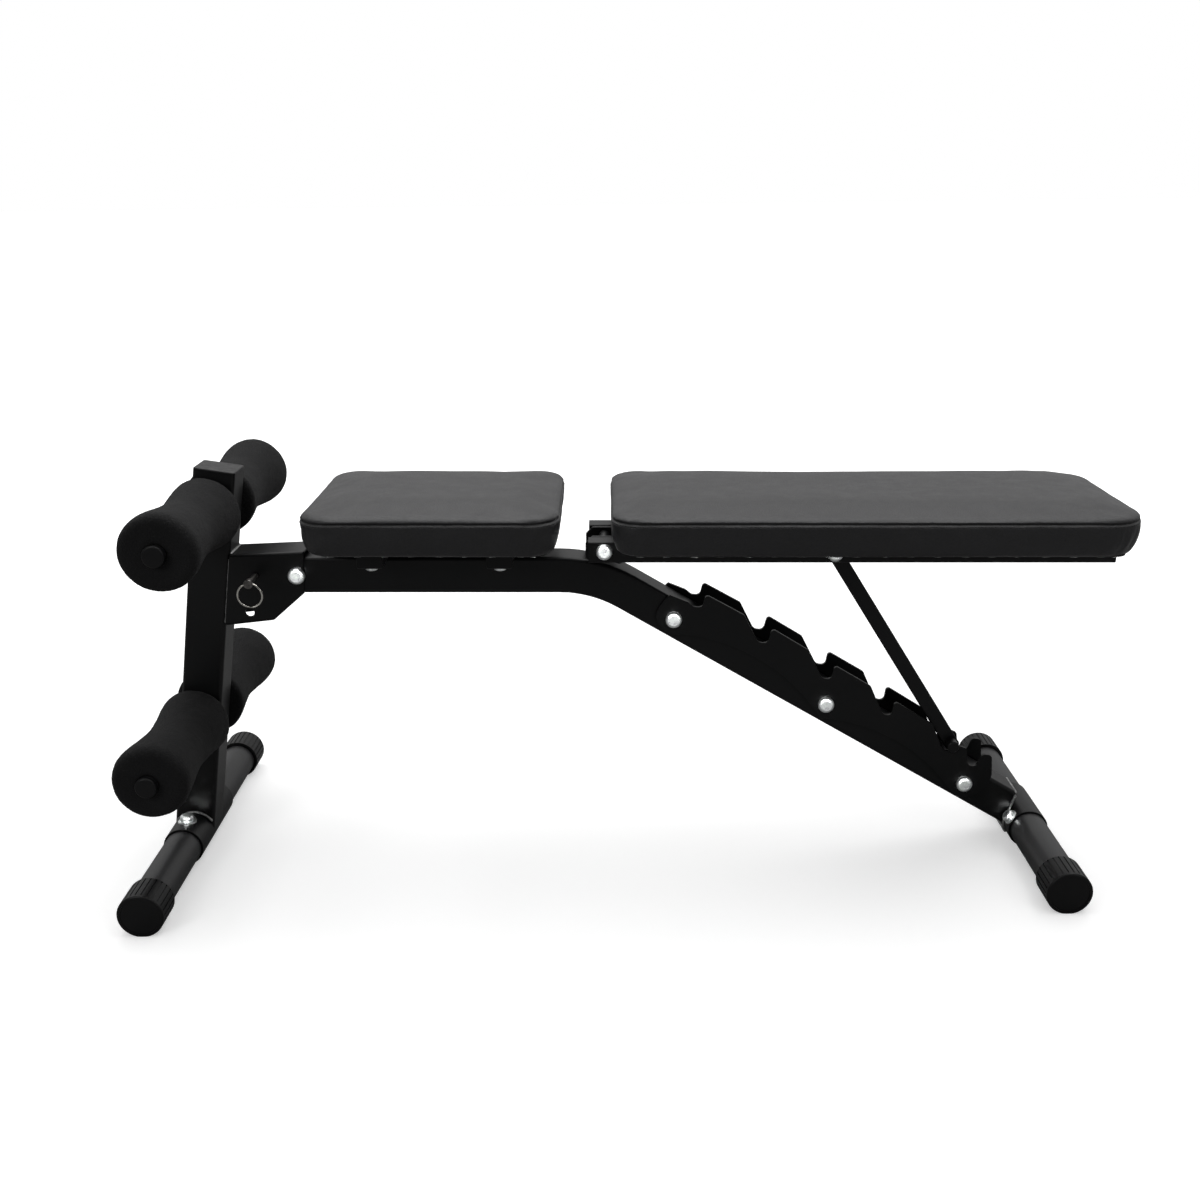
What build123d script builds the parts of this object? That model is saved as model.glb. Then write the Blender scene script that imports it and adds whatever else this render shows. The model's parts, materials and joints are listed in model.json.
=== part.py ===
from build123d import *
import math
import os

os.makedirs("parts", exist_ok=True)

# Adjustable decline / sit-up bench. Millimetres, +Z up.
# Origin: on the floor, in the middle of the bench's overall length, on its long centre plane.
# +X runs from the leg rollers towards the head of the backrest, +Y across the bench.

# ---------------------------------------------------------------- driving dimensions
foot_span = 1190.0            # front foot axis to rear foot axis
foot_axis_z = 28.5            # height of both foot tubes
foot_mid_x = -23.5675         # middle of the feet, from the middle of the overall length
frame_fall_deg = 0.62         # the upper frame falls this much towards the rear foot

foot_tube_r, foot_tube_wall = 25.0, 2.0
front_foot_half, rear_foot_half = 252.0, 219.0    # over the caps
cap_r, cap_len, cap_wall = 30.0, 46.0, 4.0
cap_rib_count, cap_rib_w, cap_rib_depth = 26, 1.7, 1.3
sleeve_r, sleeve_bore_r = 27.75, 25.1
front_sleeve_half, rear_sleeve_half = 75.0, 46.0

beam_w, beam_wall, beam_corner = 50.0, 2.5, 5.0
beam_mid_z = 411.5
beam_left_x = -502.0
beam_slope_deg = 30.5
beam_bend_r = 180.0
beam_break_x = -17.8          # where the two straight centre lines would meet

post_lean_deg = 8.5
post_dx, post_dy, post_wall = 55.0, 50.0, 2.5
post_top = 529.0              # along its own axis from the foot axis

plate_t = 4.0                 # ratchet plates
plate_in = beam_w / 2 + 0.05
bracket_in, bracket_t = 25.3, 3.0

hinge = (-6.0, 454.0)         # backrest pivot
strut_top = (296.0, 452.0)    # strut pivot on the rails
strut_rod = (482.0, 163.0)    # cross rod, in the fifth notch at rest
rod_r, rod_half = 8.0, 35.0
strut_w, strut_dy, strut_wall = 20.0, 38.0, 2.0

rail_in, rail_out = 30.0, 58.0
rail_z0, rail_z1 = 439.0, 467.0
rail_x0, rail_x1 = -27.0, 664.0

pad_half = 140.0
pad_z0, pad_z1 = 467.4, 521.0
seat_x0, seat_x1 = -384.0, -63.0
back_x0, back_x1 = 5.0, 667.0
board_t = 12.0
board_inset = 16.0

m10_r, m8_r = 5.0, 4.0
axle_r, axle_wall, axle_half = 12.5, 2.0, 232.0
upper_axle = (-530.5, 500.0)
lower_axle = (-573.0, 202.0)
foam_bore_r = 12.56
foam_y0, foam_y1 = 30.0, 228.0
foam_end_r, foam_waist_r = 49.0, 40.0

pin_xz = (-473.0, 412.0)
pin_r, pin_hole_r = 4.0, 4.08
pin_head_r, pin_head_len, pin_reach = 6.2, 8.4, 67.3
ring_R, ring_r = 16.2, 1.25

# ---------------------------------------------------------------- reference planes
front_foot = (foot_mid_x - foot_span / 2, foot_axis_z)
rear_foot = (foot_mid_x + foot_span / 2, foot_axis_z)
front_x = -foot_span / 2      # the front foot axis in the upper frame's own side view
ct, st = math.cos(math.radians(frame_fall_deg)), math.sin(math.radians(frame_fall_deg))


def W(x, z):
    """A point of the upper frame's own side view, in the bench frame (X, Z)."""
    dx, dz = x - front_x, z - foot_axis_z
    return (front_foot[0] + dx * ct + dz * st, front_foot[1] - dx * st + dz * ct)


def side(y):
    """Side-view plane of the upper frame at a given Y. Local x along the frame, local y up; extrusion runs to -Y."""
    o = W(0, 0)
    return Plane(origin=(o[0], y, o[1]), x_dir=(ct, 0, -st), z_dir=(0, -1, 0))


def plan(h):
    """Plan-view plane of the upper frame at height h. Local x along the frame, local y = Y; extrusion runs up."""
    o = W(0, h)
    return Plane(origin=(o[0], 0, o[1]), x_dir=(ct, 0, -st), z_dir=(st, 0, ct))


def level(y):
    """Side-view plane of the bench frame itself, used for the feet."""
    return Plane(origin=(0, y, 0), x_dir=(1, 0, 0), z_dir=(0, -1, 0))


def rounded_outline(pts):
    """Closed outline of (x, y, corner radius) points as lines and arcs, drawn into the active BuildLine."""
    n = len(pts)
    cuts = []
    for i in range(n):
        p = Vector(pts[i][0], pts[i][1])
        a = Vector(pts[i - 1][0], pts[i - 1][1])
        b = Vector(pts[(i + 1) % n][0], pts[(i + 1) % n][1])
        r = pts[i][2]
        u, v = (a - p).normalized(), (b - p).normalized()
        ang = math.acos(max(-1.0, min(1.0, u.dot(v))))
        if r < 0.05 or ang > math.radians(179.0):
            cuts.append((p, None, p))
            continue
        t = min(r / math.tan(ang / 2), 0.49 * (a - p).length, 0.49 * (b - p).length)
        rr = t * math.tan(ang / 2)
        w = (u + v).normalized()
        centre = p + w * (rr / math.sin(ang / 2))
        cuts.append((p + u * t, centre - w * rr, p + v * t))
    for i in range(n):
        s, m, e = cuts[i]
        if m is not None:
            ThreePointArc(s, m, e)
        nxt = cuts[(i + 1) % n][0]
        if (nxt - e).length > 1e-6:
            Line(e, nxt)


def save(piece, name):
    piece.label = name
    export_step(piece, f"parts/{name}.step")


# ================================================================ feet (level with the floor)
def foot_caps(name, foot, half):
    """Two ribbed plastic end caps with a flat underside to stand on."""
    with BuildPart() as caps:
        with BuildSketch(level(-(half - cap_len))):
            with Locations(foot):
                Circle(cap_r)
        extrude(amount=cap_len)
        fillet(caps.edges().filter_by(GeomType.CIRCLE).group_by(Axis.Y)[0], 2.6)
        fillet(caps.edges().filter_by(GeomType.CIRCLE).group_by(Axis.Y)[-1], 0.8)
        with BuildSketch(level(-(half - cap_len))):
            with Locations(foot):
                Circle(foot_tube_r + 0.06)
        extrude(amount=cap_len - cap_wall, mode=Mode.SUBTRACT)
        with BuildSketch(level(-half + 0.8)):
            with Locations(foot):
                Circle(cap_r - 4.4)
        extrude(amount=2.0, mode=Mode.SUBTRACT)
        rib_plane = Plane(origin=(foot[0], -(half - cap_len) - 1.2, foot[1]), x_dir=(1, 0, 0), z_dir=(0, -1, 0))
        with BuildSketch(rib_plane):
            with PolarLocations(cap_r, cap_rib_count, start_angle=90.0 + 180.0 / cap_rib_count):
                Rectangle(2 * cap_rib_depth, cap_rib_w)
        extrude(amount=cap_len - 5.6, mode=Mode.SUBTRACT)
        split(bisect_by=Plane.XY, keep=Keep.TOP)
        mirror(about=Plane.XZ)
    save(caps.part, name)


def foot_tube(name, foot, half, bolt_y, bolt_dir_deg):
    """Round foot tube with the two bolt holes that lock it in its sleeve."""
    bx, bz = math.cos(math.radians(bolt_dir_deg)), math.sin(math.radians(bolt_dir_deg))
    with BuildPart() as tube:
        with BuildSketch(level(half - cap_wall - 0.2)):
            with Locations(foot):
                Circle(foot_tube_r)
                Circle(foot_tube_r - foot_tube_wall, mode=Mode.SUBTRACT)
        extrude(amount=2 * (half - cap_wall - 0.2))
        for y in (-bolt_y, bolt_y):
            with BuildSketch(Plane(origin=(foot[0], y, foot[1]), x_dir=(0, 1, 0), z_dir=(bx, 0, bz))):
                Circle(m10_r + 0.2)
            extrude(amount=40, mode=Mode.SUBTRACT)
    save(tube.part, name)


def foot_sleeve(name, foot, half, bolt_y, bolt_dir_deg):
    """Short tube, welded to the frame, that the foot tube slides through."""
    bx, bz = math.cos(math.radians(bolt_dir_deg)), math.sin(math.radians(bolt_dir_deg))
    with BuildPart() as sleeve:
        with BuildSketch(level(half)):
            with Locations(foot):
                Circle(sleeve_r)
                Circle(sleeve_bore_r, mode=Mode.SUBTRACT)
        extrude(amount=2 * half)
        fillet(sleeve.edges().filter_by(GeomType.CIRCLE).filter_by(lambda e: e.radius > sleeve_r - 0.1), 0.7)
        for y in (-bolt_y, bolt_y):
            with BuildSketch(Plane(origin=(foot[0], y, foot[1]), x_dir=(0, 1, 0), z_dir=(bx, 0, bz))):
                Circle(m10_r + 0.2)
            extrude(amount=40, mode=Mode.SUBTRACT)
    save(sleeve.part, name)


def foot_fasteners(prefix, foot, bolt_y, bolt_dir_deg, washer_r, head_r):
    """Two dome-head bolts and their curved saddle washers."""
    bx, bz = math.cos(math.radians(bolt_dir_deg)), math.sin(math.radians(bolt_dir_deg))
    w0, w1 = sleeve_r + 0.08, sleeve_r + 2.4
    with BuildPart() as washers:
        with BuildSketch(level(bolt_y + washer_r + 2)):
            with Locations(foot):
                Circle(w1)
                Circle(w0, mode=Mode.SUBTRACT)
        extrude(amount=2 * (bolt_y + washer_r + 2))
        with BuildSketch(Plane(origin=(foot[0] + 5 * bx, 0, foot[1] + 5 * bz), x_dir=(0, 1, 0), z_dir=(bx, 0, bz))):
            with Locations((-bolt_y, 0), (bolt_y, 0)):
                Circle(washer_r)
                Circle(m10_r + 0.2, mode=Mode.SUBTRACT)
        extrude(amount=40, mode=Mode.INTERSECT)
    save(washers.part, prefix + "_foot_washers")
    # the head's flat underside rides on the crown of the washer
    seat = sleeve_r + 2.5
    with BuildPart() as bolts:
        for y in (-bolt_y, bolt_y):
            with BuildSketch(Plane(origin=(foot[0] + seat * bx, y, foot[1] + seat * bz), x_dir=(0, 1, 0), z_dir=(bx, 0, bz))):
                Circle(head_r)
            extrude(amount=6.4)
        outer = Axis((foot[0], 0, foot[1]), (bx, 0, bz))
        fillet(bolts.edges().filter_by(GeomType.CIRCLE).group_by(outer)[-1], 4.6)
        for y in (-bolt_y, bolt_y):
            with BuildSketch(Plane(origin=(foot[0] + 12 * bx, y, foot[1] + 12 * bz), x_dir=(0, 1, 0), z_dir=(bx, 0, bz))):
                Circle(m10_r)
            extrude(amount=seat - 12 + 1)
    save(bolts.part, prefix + "_foot_bolts")


foot_caps("front_foot_caps", front_foot, front_foot_half)
foot_caps("rear_foot_caps", rear_foot, rear_foot_half)
foot_tube("front_foot_tube", front_foot, front_foot_half, 48.0, 90.0)
foot_tube("rear_foot_tube", rear_foot, rear_foot_half, 36.4, 149.0)
foot_sleeve("front_sleeve", front_foot, front_sleeve_half, 48.0, 90.0)
foot_sleeve("rear_sleeve", rear_foot, rear_sleeve_half, 36.4, 149.0)
foot_fasteners("front", front_foot, 48.0, 90.0, 12.5, 9.5)
foot_fasteners("rear", rear_foot, 36.4, 149.0, 10.4, 8.6)

# ================================================================ main beam
slope = math.radians(beam_slope_deg)
tan_len = beam_bend_r * math.tan(slope / 2)
bend_in = (beam_break_x - tan_len, beam_mid_z)
bend_out = (beam_break_x + tan_len * math.cos(slope), beam_mid_z - tan_len * math.sin(slope))
# the sloping leg runs on past the rear foot axis and is then notched round the sleeve
leg_len = (620.0 - beam_break_x) / math.cos(slope) - tan_len
leg_end = (bend_out[0] + leg_len * math.cos(slope), bend_out[1] - leg_len * math.sin(slope))
bend_mid = (
    bend_in[0] + beam_bend_r * math.sin(slope / 2),
    beam_mid_z - beam_bend_r * (1 - math.cos(slope / 2)),
)
beam_start = W(beam_left_x, beam_mid_z)

ratchet_bolt_xz = [(88.0, 350.0), (301.0, 225.5), (503.0, 104.0)]
bracket_bolt_xz = (-418.0, 412.0)

with BuildPart() as main_beam:
    with BuildLine(side(0)) as beam_path:
        Line((beam_left_x, beam_mid_z), bend_in)
        ThreePointArc(bend_in, bend_mid, bend_out)
        Line(bend_out, leg_end)
    with BuildSketch(Plane(origin=(beam_start[0], 0, beam_start[1]), x_dir=(0, 1, 0), z_dir=(ct, 0, -st))):
        RectangleRounded(beam_w, beam_w, beam_corner)
        RectangleRounded(beam_w - 2 * beam_wall, beam_w - 2 * beam_wall, beam_corner - beam_wall, mode=Mode.SUBTRACT)
    sweep(path=beam_path.line)
    # round notch that fits the rear sleeve
    with BuildSketch(level(60)):
        with Locations(rear_foot):
            Circle(sleeve_r + 0.08)
    extrude(amount=120, mode=Mode.SUBTRACT)
    # the end is cut back in a slant that runs from the sleeve's side to the beam's top edge
    with BuildSketch(level(60)):
        with BuildLine():
            fx, fz = rear_foot
            Polyline(
                (fx - 27.0, fz - 60), (fx - 27.9, fz + 3.5), (fx - 14.3, fz + 46.6), (fx - 2, fz + 80),
                (fx + 90, fz + 80), (fx + 90, fz - 60), close=True,
            )
        make_face()
    extrude(amount=120, mode=Mode.SUBTRACT)
    # cross holes
    with BuildSketch(side(60)):
        with Locations(bracket_bolt_xz, *ratchet_bolt_xz):
            Circle(m10_r + 0.15)
        with Locations(pin_xz):
            Circle(pin_hole_r)
    extrude(amount=120, mode=Mode.SUBTRACT)
save(main_beam.part, "main_beam")

# ================================================================ front post and its saddle bracket
lean = math.radians(post_lean_deg)
post_u = (math.sin(lean) * ct + math.cos(lean) * st, -math.sin(lean) * st + math.cos(lean) * ct)   # along the post, bench frame
post_x = (post_u[1], -post_u[0])


def post_plane(s):
    return Plane(
        origin=(front_foot[0] + s * post_u[0], 0, front_foot[1] + s * post_u[1]),
        x_dir=(post_x[0], 0, post_x[1]),
        z_dir=(post_u[0], 0, post_u[1]),
    )


with BuildPart() as front_post:
    with BuildSketch(post_plane(0)):
        RectangleRounded(post_dx, post_dy, 4.5)
        RectangleRounded(post_dx - 2 * post_wall, post_dy - 2 * post_wall, 2.0, mode=Mode.SUBTRACT)
    extrude(amount=post_top)
    with BuildSketch(level(60)):
        with Locations(front_foot):
            Circle(sleeve_r + 0.08)
    extrude(amount=120, mode=Mode.SUBTRACT)
    with BuildSketch(side(60)):
        with Locations(upper_axle, lower_axle):
            Circle(axle_r + 0.08)
    extrude(amount=120, mode=Mode.SUBTRACT)
save(front_post.part, "front_post")

with BuildPart() as post_top_cap:
    with BuildSketch(post_plane(post_top + 0.1)):
        RectangleRounded(post_dx, post_dy, 4.5)
    extrude(amount=3.6)
    fillet(post_top_cap.faces().sort_by(Axis((0, 0, 0), (post_u[0], 0, post_u[1])))[-1].edges(), 1.8)
    with BuildSketch(post_plane(post_top - 14)):
        RectangleRounded(post_dx - 2 * post_wall - 0.3, post_dy - 2 * post_wall - 0.3, 1.8)
        RectangleRounded(post_dx - 2 * post_wall - 5, post_dy - 2 * post_wall - 5, 1.2, mode=Mode.SUBTRACT)
    extrude(amount=14.5)
save(post_top_cap.part, "post_top_cap")

# side view of the saddle bracket; its left edge lies on the post's rear face
post_face = lambda z: front_x + (z - foot_axis_z) * math.tan(lean) + (post_dx / 2 + 0.12) / math.cos(lean)
with BuildPart() as front_bracket:
    with BuildSketch(side(bracket_in + bracket_t)):
        with BuildLine():
            rounded_outline([
                (post_face(441.2), 441.2, 0), (-405.7, 445.6, 1.5), (-409.3, 387.2, 2.0),
                (-453.7, 348.3, 9.0), (-515.0, 341.2, 3.0), (post_face(341.0), 341.0, 0),
            ])
        make_face()
    extrude(amount=2 * (bracket_in + bracket_t))
    fillet(front_bracket.edges().filter_by(lambda e: e.length > 80 and abs(e.center().Y) > bracket_in
                                           and e.center().Z > 430 and abs((e @ 1 - e @ 0).Y) < 1), 4.2)
    # hollow: the beam's seat, open underneath
    with BuildSketch(side(bracket_in)):
        with BuildLine():
            Polyline((-560, 441.2 - bracket_t - 2.4), (-395, 446.2 - bracket_t), (-395, 330), (-560, 330), close=True)
        make_face()
    extrude(amount=2 * bracket_in, mode=Mode.SUBTRACT)
    with BuildSketch(side(60)):
        with Locations(bracket_bolt_xz):
            Circle(m10_r + 0.15)
        with Locations(pin_xz):
            Circle(pin_hole_r)
        with Locations((-485.0, 360.5)):
            Circle(6.2)
    extrude(amount=120, mode=Mode.SUBTRACT)
save(front_bracket.part, "front_bracket")


# ================================================================ ratchet plates
# Six notches; the teeth lean towards the rear foot. Outline clockwise from the front end.
ratchet_outline = [
    (82.7, 385.2, 6), (107.0, 375.3, 8), (115.0, 368.4, 8), (126.5, 367.6, 8), (130.9, 385.9, 4.2),
    (183.5, 356.6, 6), (203.4, 317.4, 9), (216.8, 315.8, 8.5), (222.0, 337.2, 4.2),
    (271.9, 306.6, 6), (293.6, 264.6, 9), (306.6, 263.2, 8.5), (309.8, 283.8, 4.2),
    (361.6, 252.8, 6), (380.6, 210.8, 9), (393.4, 209.2, 8.5), (396.0, 230.8, 4.2),
    (451.6, 195.8, 6), (468.0, 155.8, 9.5), (485.8, 153.4, 9), (493.0, 162.2, 4),
    (502.0, 158.6, 4), (505.8, 133.0, 7.5), (517.6, 130.6, 7.5), (525.0, 149.8, 5.5), (538.4, 148.2, 6),
    (541.0, 118.0, 8), (536.5, 99.0, 10), (517.0, 84.5, 12), (496.0, 82.5, 12), (484.5, 93.8, 6),
]
scallop_2 = [(484.5, 93.8), (406.0, 168.6), (299.0, 205.0)]
scallop_1 = [(294.3, 204.4), (220.0, 283.5), (99.7, 329.5)]
front_lobe = [(99.7, 329.5), (82.6, 330.0), (71.0, 339.6), (64.4, 355.5), (71.6, 373.3), (82.7, 385.2)]

for node, y_outer in (("ratchet_plate_near", -plate_in), ("ratchet_plate_far", plate_in + plate_t)):
    with BuildPart() as ratchet_plate:
        with BuildSketch(side(y_outer)):
            with BuildLine():
                # top edge and rear end, corner by corner
                pts = ratchet_outline
                cut_pts = []
                for i in range(1, len(pts) - 1):
                    p = Vector(pts[i][0], pts[i][1])
                    a = Vector(pts[i - 1][0], pts[i - 1][1])
                    b = Vector(pts[i + 1][0], pts[i + 1][1])
                    u, v = (a - p).normalized(), (b - p).normalized()
                    ang = math.acos(max(-1.0, min(1.0, u.dot(v))))
                    t = min(pts[i][2] / math.tan(ang / 2), 0.48 * (a - p).length, 0.48 * (b - p).length)
                    rr = t * math.tan(ang / 2)
                    w = (u + v).normalized()
                    c = p + w * (rr / math.sin(ang / 2))
                    cut_pts.append((p + u * t, c - w * rr, p + v * t))
                last = Vector(pts[0][0], pts[0][1])
                for s, m, e in cut_pts:
                    Line(last, s)
                    ThreePointArc(s, m, e)
                    last = e
                Line(last, pts[-1][:2])
                # scalloped underside
                ThreePointArc(*scallop_2)
                Line(scallop_2[-1], scallop_1[0])
                ThreePointArc(*scallop_1)
                Spline(*front_lobe)
            make_face()
        extrude(amount=plate_t)
        with BuildSketch(side(60)):
            with Locations(*ratchet_bolt_xz):
                Circle(m10_r + 0.15)
        extrude(amount=120, mode=Mode.SUBTRACT)
    save(ratchet_plate.part, node)


# ================================================================ cross bolts and lock nuts
def cross_bolt(name, points, y_face, y_end, head_r, head_h, shank_r=m10_r):
    """Dome-head bolts lying across the bench: head outside -y_face, shank to +y_end."""
    with BuildPart() as bolt:
        with BuildSketch(side(-y_face)):
            with Locations(*points):
                Circle(head_r)
        extrude(amount=head_h)
        fillet(bolt.edges().filter_by(GeomType.CIRCLE).group_by(Axis.Y)[0], head_h - 1.3)
        with BuildSketch(side(y_end)):
            with Locations(*points):
                Circle(shank_r)
        extrude(amount=y_end + y_face + 0.5)
        chamfer(bolt.edges().filter_by(GeomType.CIRCLE).group_by(Axis.Y)[-1], 0.8)
    save(bolt.part, name)


def lock_nuts(name, points, y_face, flats=17.0, thick=9.0, bore_r=m10_r + 0.1, washer_r=10.5):
    """Flat washer under a hexagon lock nut with a rounded collar, one solid per bolt."""
    with BuildPart() as nut:
        with BuildSketch(side(y_face + 2.0)):
            with Locations(*points):
                Circle(washer_r)
        extrude(amount=2.0)
        with BuildSketch(side(y_face + 2.0 + thick)):
            with Locations(*points):
                RegularPolygon(flats / 2, 6, major_radius=False)
        extrude(amount=thick + 0.1)
        with BuildSketch(side(y_face + 2.0 + thick + 2.4)):
            with Locations(*points):
                Circle(flats / 2 - 1.2)
        extrude(amount=3.0)
        fillet(nut.edges().filter_by(GeomType.CIRCLE).group_by(Axis.Y)[-1], 1.4)
        with BuildSketch(side(y_face + 20)):
            with Locations(*points):
                Circle(bore_r)
        extrude(amount=30, mode=Mode.SUBTRACT)
    save(nut.part, name)


bracket_face = bracket_in + bracket_t + 0.05
cross_bolt("bracket_bolt", [bracket_bolt_xz], bracket_face, bracket_face + 14.5, 11.5, 6.2)
lock_nuts("bracket_nut", [bracket_bolt_xz], bracket_face)
plate_face = plate_in + plate_t + 0.05
cross_bolt("ratchet_bolts", ratchet_bolt_xz, plate_face, plate_face + 14.5, 11.2, 6.0)
lock_nuts("ratchet_nuts", ratchet_bolt_xz, plate_face)

# ================================================================ backrest hinge on the beam
ear_in, ear_out = 21.5, 26.0
with BuildPart() as hinge_ears:
    for y0 in (ear_out, -ear_in):
        with BuildSketch(side(y0)):
            with BuildLine():
                rounded_outline([
                    (-31.0, 436.7, 0), (-31.0, 457.0, 2), (-22.0, 466.0, 3), (8.0, 466.0, 8), (17.0, 452.0, 4), (17.0, 428.5, 0),
                    (11.0, 431.0, 0), (4.0, 433.2, 0), (-4.0, 434.9, 0), (-14.0, 436.2, 0),
                ])
            make_face()
        extrude(amount=ear_out - ear_in)
    with BuildSketch(side(60)):
        with Locations(hinge):
            Circle(m10_r + 0.15)
    extrude(amount=120, mode=Mode.SUBTRACT)
save(hinge_ears.part, "hinge_ears")

with BuildPart() as hinge_sleeve:
    with BuildSketch(side(ear_in - 0.1)):
        with Locations(hinge):
            Circle(8.0)
            Circle(m10_r + 0.2, mode=Mode.SUBTRACT)
    extrude(amount=2 * (ear_in - 0.1))
save(hinge_sleeve.part, "hinge_sleeve")

with BuildPart() as hinge_washers:
    for y0 in (rail_in - 0.08, -(ear_out + 0.08)):
        with BuildSketch(side(y0)):
            with Locations(hinge):
                Circle(11.0)
                Circle(m10_r + 0.2, mode=Mode.SUBTRACT)
        extrude(amount=rail_in - ear_out - 0.16)
save(hinge_washers.part, "hinge_washers")

cross_bolt("hinge_bolt", [hinge], rail_out + 0.1, rail_out + 14.5, 10.6, 6.0)
lock_nuts("hinge_nut", [hinge], rail_out + 0.1)


# ================================================================ seat
def crossbar(name, xc):
    with BuildPart() as bar:
        with BuildSketch(Plane(origin=(W(xc, 452)[0], 75, W(xc, 452)[1]), x_dir=(ct, 0, -st), z_dir=(0, -1, 0))):
            RectangleRounded(34, 30.6, 3)
            RectangleRounded(30, 26.6, 1.4, mode=Mode.SUBTRACT)
        extrude(amount=150)
        with BuildSketch(plan(430)):
            with Locations((xc, -62), (xc, 62)):
                Circle(m8_r + 0.2)
        extrude(amount=50, mode=Mode.SUBTRACT)
    save(bar.part, name)


seat_bolt_x = (-310.0, -142.0)
crossbar("seat_crossbar_front", seat_bolt_x[0])
crossbar("seat_crossbar_rear", seat_bolt_x[1])


with BuildPart() as crossbar_plugs:
    for xc in seat_bolt_x:
        o = W(xc, 452)
        with BuildSketch(Plane(origin=(o[0], -75.05, o[1]), x_dir=(ct, 0, -st), z_dir=(0, -1, 0))):
            RectangleRounded(34, 30.6, 3)
        extrude(amount=2.4)
        with BuildSketch(Plane(origin=(o[0], -75.05, o[1]), x_dir=(ct, 0, -st), z_dir=(0, -1, 0))):
            RectangleRounded(29.7, 26.3, 1.3)
        extrude(amount=-6.0)
    chamfer(crossbar_plugs.faces().filter_by(Plane.XZ).group_by(Axis.Y)[0].edges(), 0.8)
    mirror(about=Plane.XZ)
save(crossbar_plugs.part, "crossbar_plugs")


def pad_set(prefix, x0, x1, bolt_pts, corner_a, corner_b):
    """Plywood board, its tee nuts, and the upholstered pad that wraps over the board's edges."""
    xm, length = (x0 + x1) / 2, x1 - x0
    board_z0 = pad_z0 + 0.2
    with BuildPart() as board:
        with BuildSketch(plan(board_z0)):
            with Locations((xm, 0)):
                RectangleRounded(length - 2 * board_inset, 2 * (pad_half - board_inset), 24)
        extrude(amount=board_t)
        with BuildSketch(plan(board_z0)):
            with Locations(*bolt_pts):
                Circle(5.1)
        extrude(amount=board_t, mode=Mode.SUBTRACT)
        with BuildSketch(plan(board_z0 + board_t - 1.8)):
            with Locations(*bolt_pts):
                Circle(10.2)
        extrude(amount=1.8, mode=Mode.SUBTRACT)
    save(board.part, prefix + "_board")
    with BuildPart() as nuts:
        with BuildSketch(plan(board_z0 + board_t - 1.7)):
            with Locations(*bolt_pts):
                Circle(10.0)
        extrude(amount=1.6)
        with BuildSketch(plan(board_z0 + 2.5)):
            with Locations(*bolt_pts):
                Circle(5.0)
        extrude(amount=board_t - 4.0)
        with BuildSketch(plan(board_z0)):
            with Locations(*bolt_pts):
                Circle(m8_r + 0.08)
        extrude(amount=board_t + 1, mode=Mode.SUBTRACT)
    save(nuts.part, prefix + "_tee_nuts")
    with BuildPart() as pad:
        with BuildSketch(plan(pad_z0)):
            with BuildLine():
                rounded_outline([
                    (x0, -pad_half, corner_a), (x1, -pad_half, corner_b), (x1, pad_half, corner_b), (x0, pad_half, corner_a),
                ])
            make_face()
        extrude(amount=pad_z1 - pad_z0)
        fillet(pad.faces().sort_by(Axis.Z)[-1].edges(), 11.0)
        fillet(pad.faces().sort_by(Axis.Z)[0].edges(), 5.0)
        with BuildSketch(plan(pad_z0)):
            with Locations((xm, 0)):
                RectangleRounded(length - 2 * board_inset + 0.5, 2 * (pad_half - board_inset) + 0.5, 24)
        extrude(amount=board_t + 0.5, mode=Mode.SUBTRACT)
    save(pad.part, prefix + "_pad")


seat_pts = [(x, y) for x in seat_bolt_x for y in (-62.0, 62.0)]
pad_set("seat", seat_x0, seat_x1, seat_pts, 40.0, 40.0)

with BuildPart() as seat_bolts:
    with BuildSketch(plan(436.6 - 5.6)):
        with Locations(*seat_pts):
            Circle(9.0)
    extrude(amount=5.5)
    under = Axis((0, 0, 0), (st, 0, ct))
    head_rims = seat_bolts.edges().filter_by(GeomType.CIRCLE).group_by(under)[0]
    fillet(head_rims, 3.9)
    with BuildSketch(plan(436.4)):
        with Locations(*seat_pts):
            Circle(m8_r)
    extrude(amount=pad_z0 + 0.2 + board_t - 0.6 - 436.4)
save(seat_bolts.part, "seat_bolts")

# ================================================================ backrest frame
strap_x = (105.0, 560.0)
for node, y0 in (("backrest_rail_near", -rail_in), ("backrest_rail_far", rail_out)):
    with BuildPart() as rail:
        start = W(rail_x0 + 2.6, (rail_z0 + rail_z1) / 2)
        yc = y0 - (rail_out - rail_in) / 2
        with BuildSketch(Plane(origin=(start[0], yc, start[1]), x_dir=(0, 1, 0), z_dir=(ct, 0, -st))):
            RectangleRounded(rail_out - rail_in, rail_z1 - rail_z0, 2.6)
            RectangleRounded(rail_out - rail_in - 3.0, rail_z1 - rail_z0 - 3.0, 1.2, mode=Mode.SUBTRACT)
        extrude(amount=rail_x1 - rail_x0 - 5.2)
        with BuildSketch(side(60)):
            with Locations(hinge):
                Circle(m10_r + 0.07)
            with Locations(strut_top):
                Circle(m10_r + 0.07)
        extrude(amount=120, mode=Mode.SUBTRACT)
    save(rail.part, node)

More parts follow.
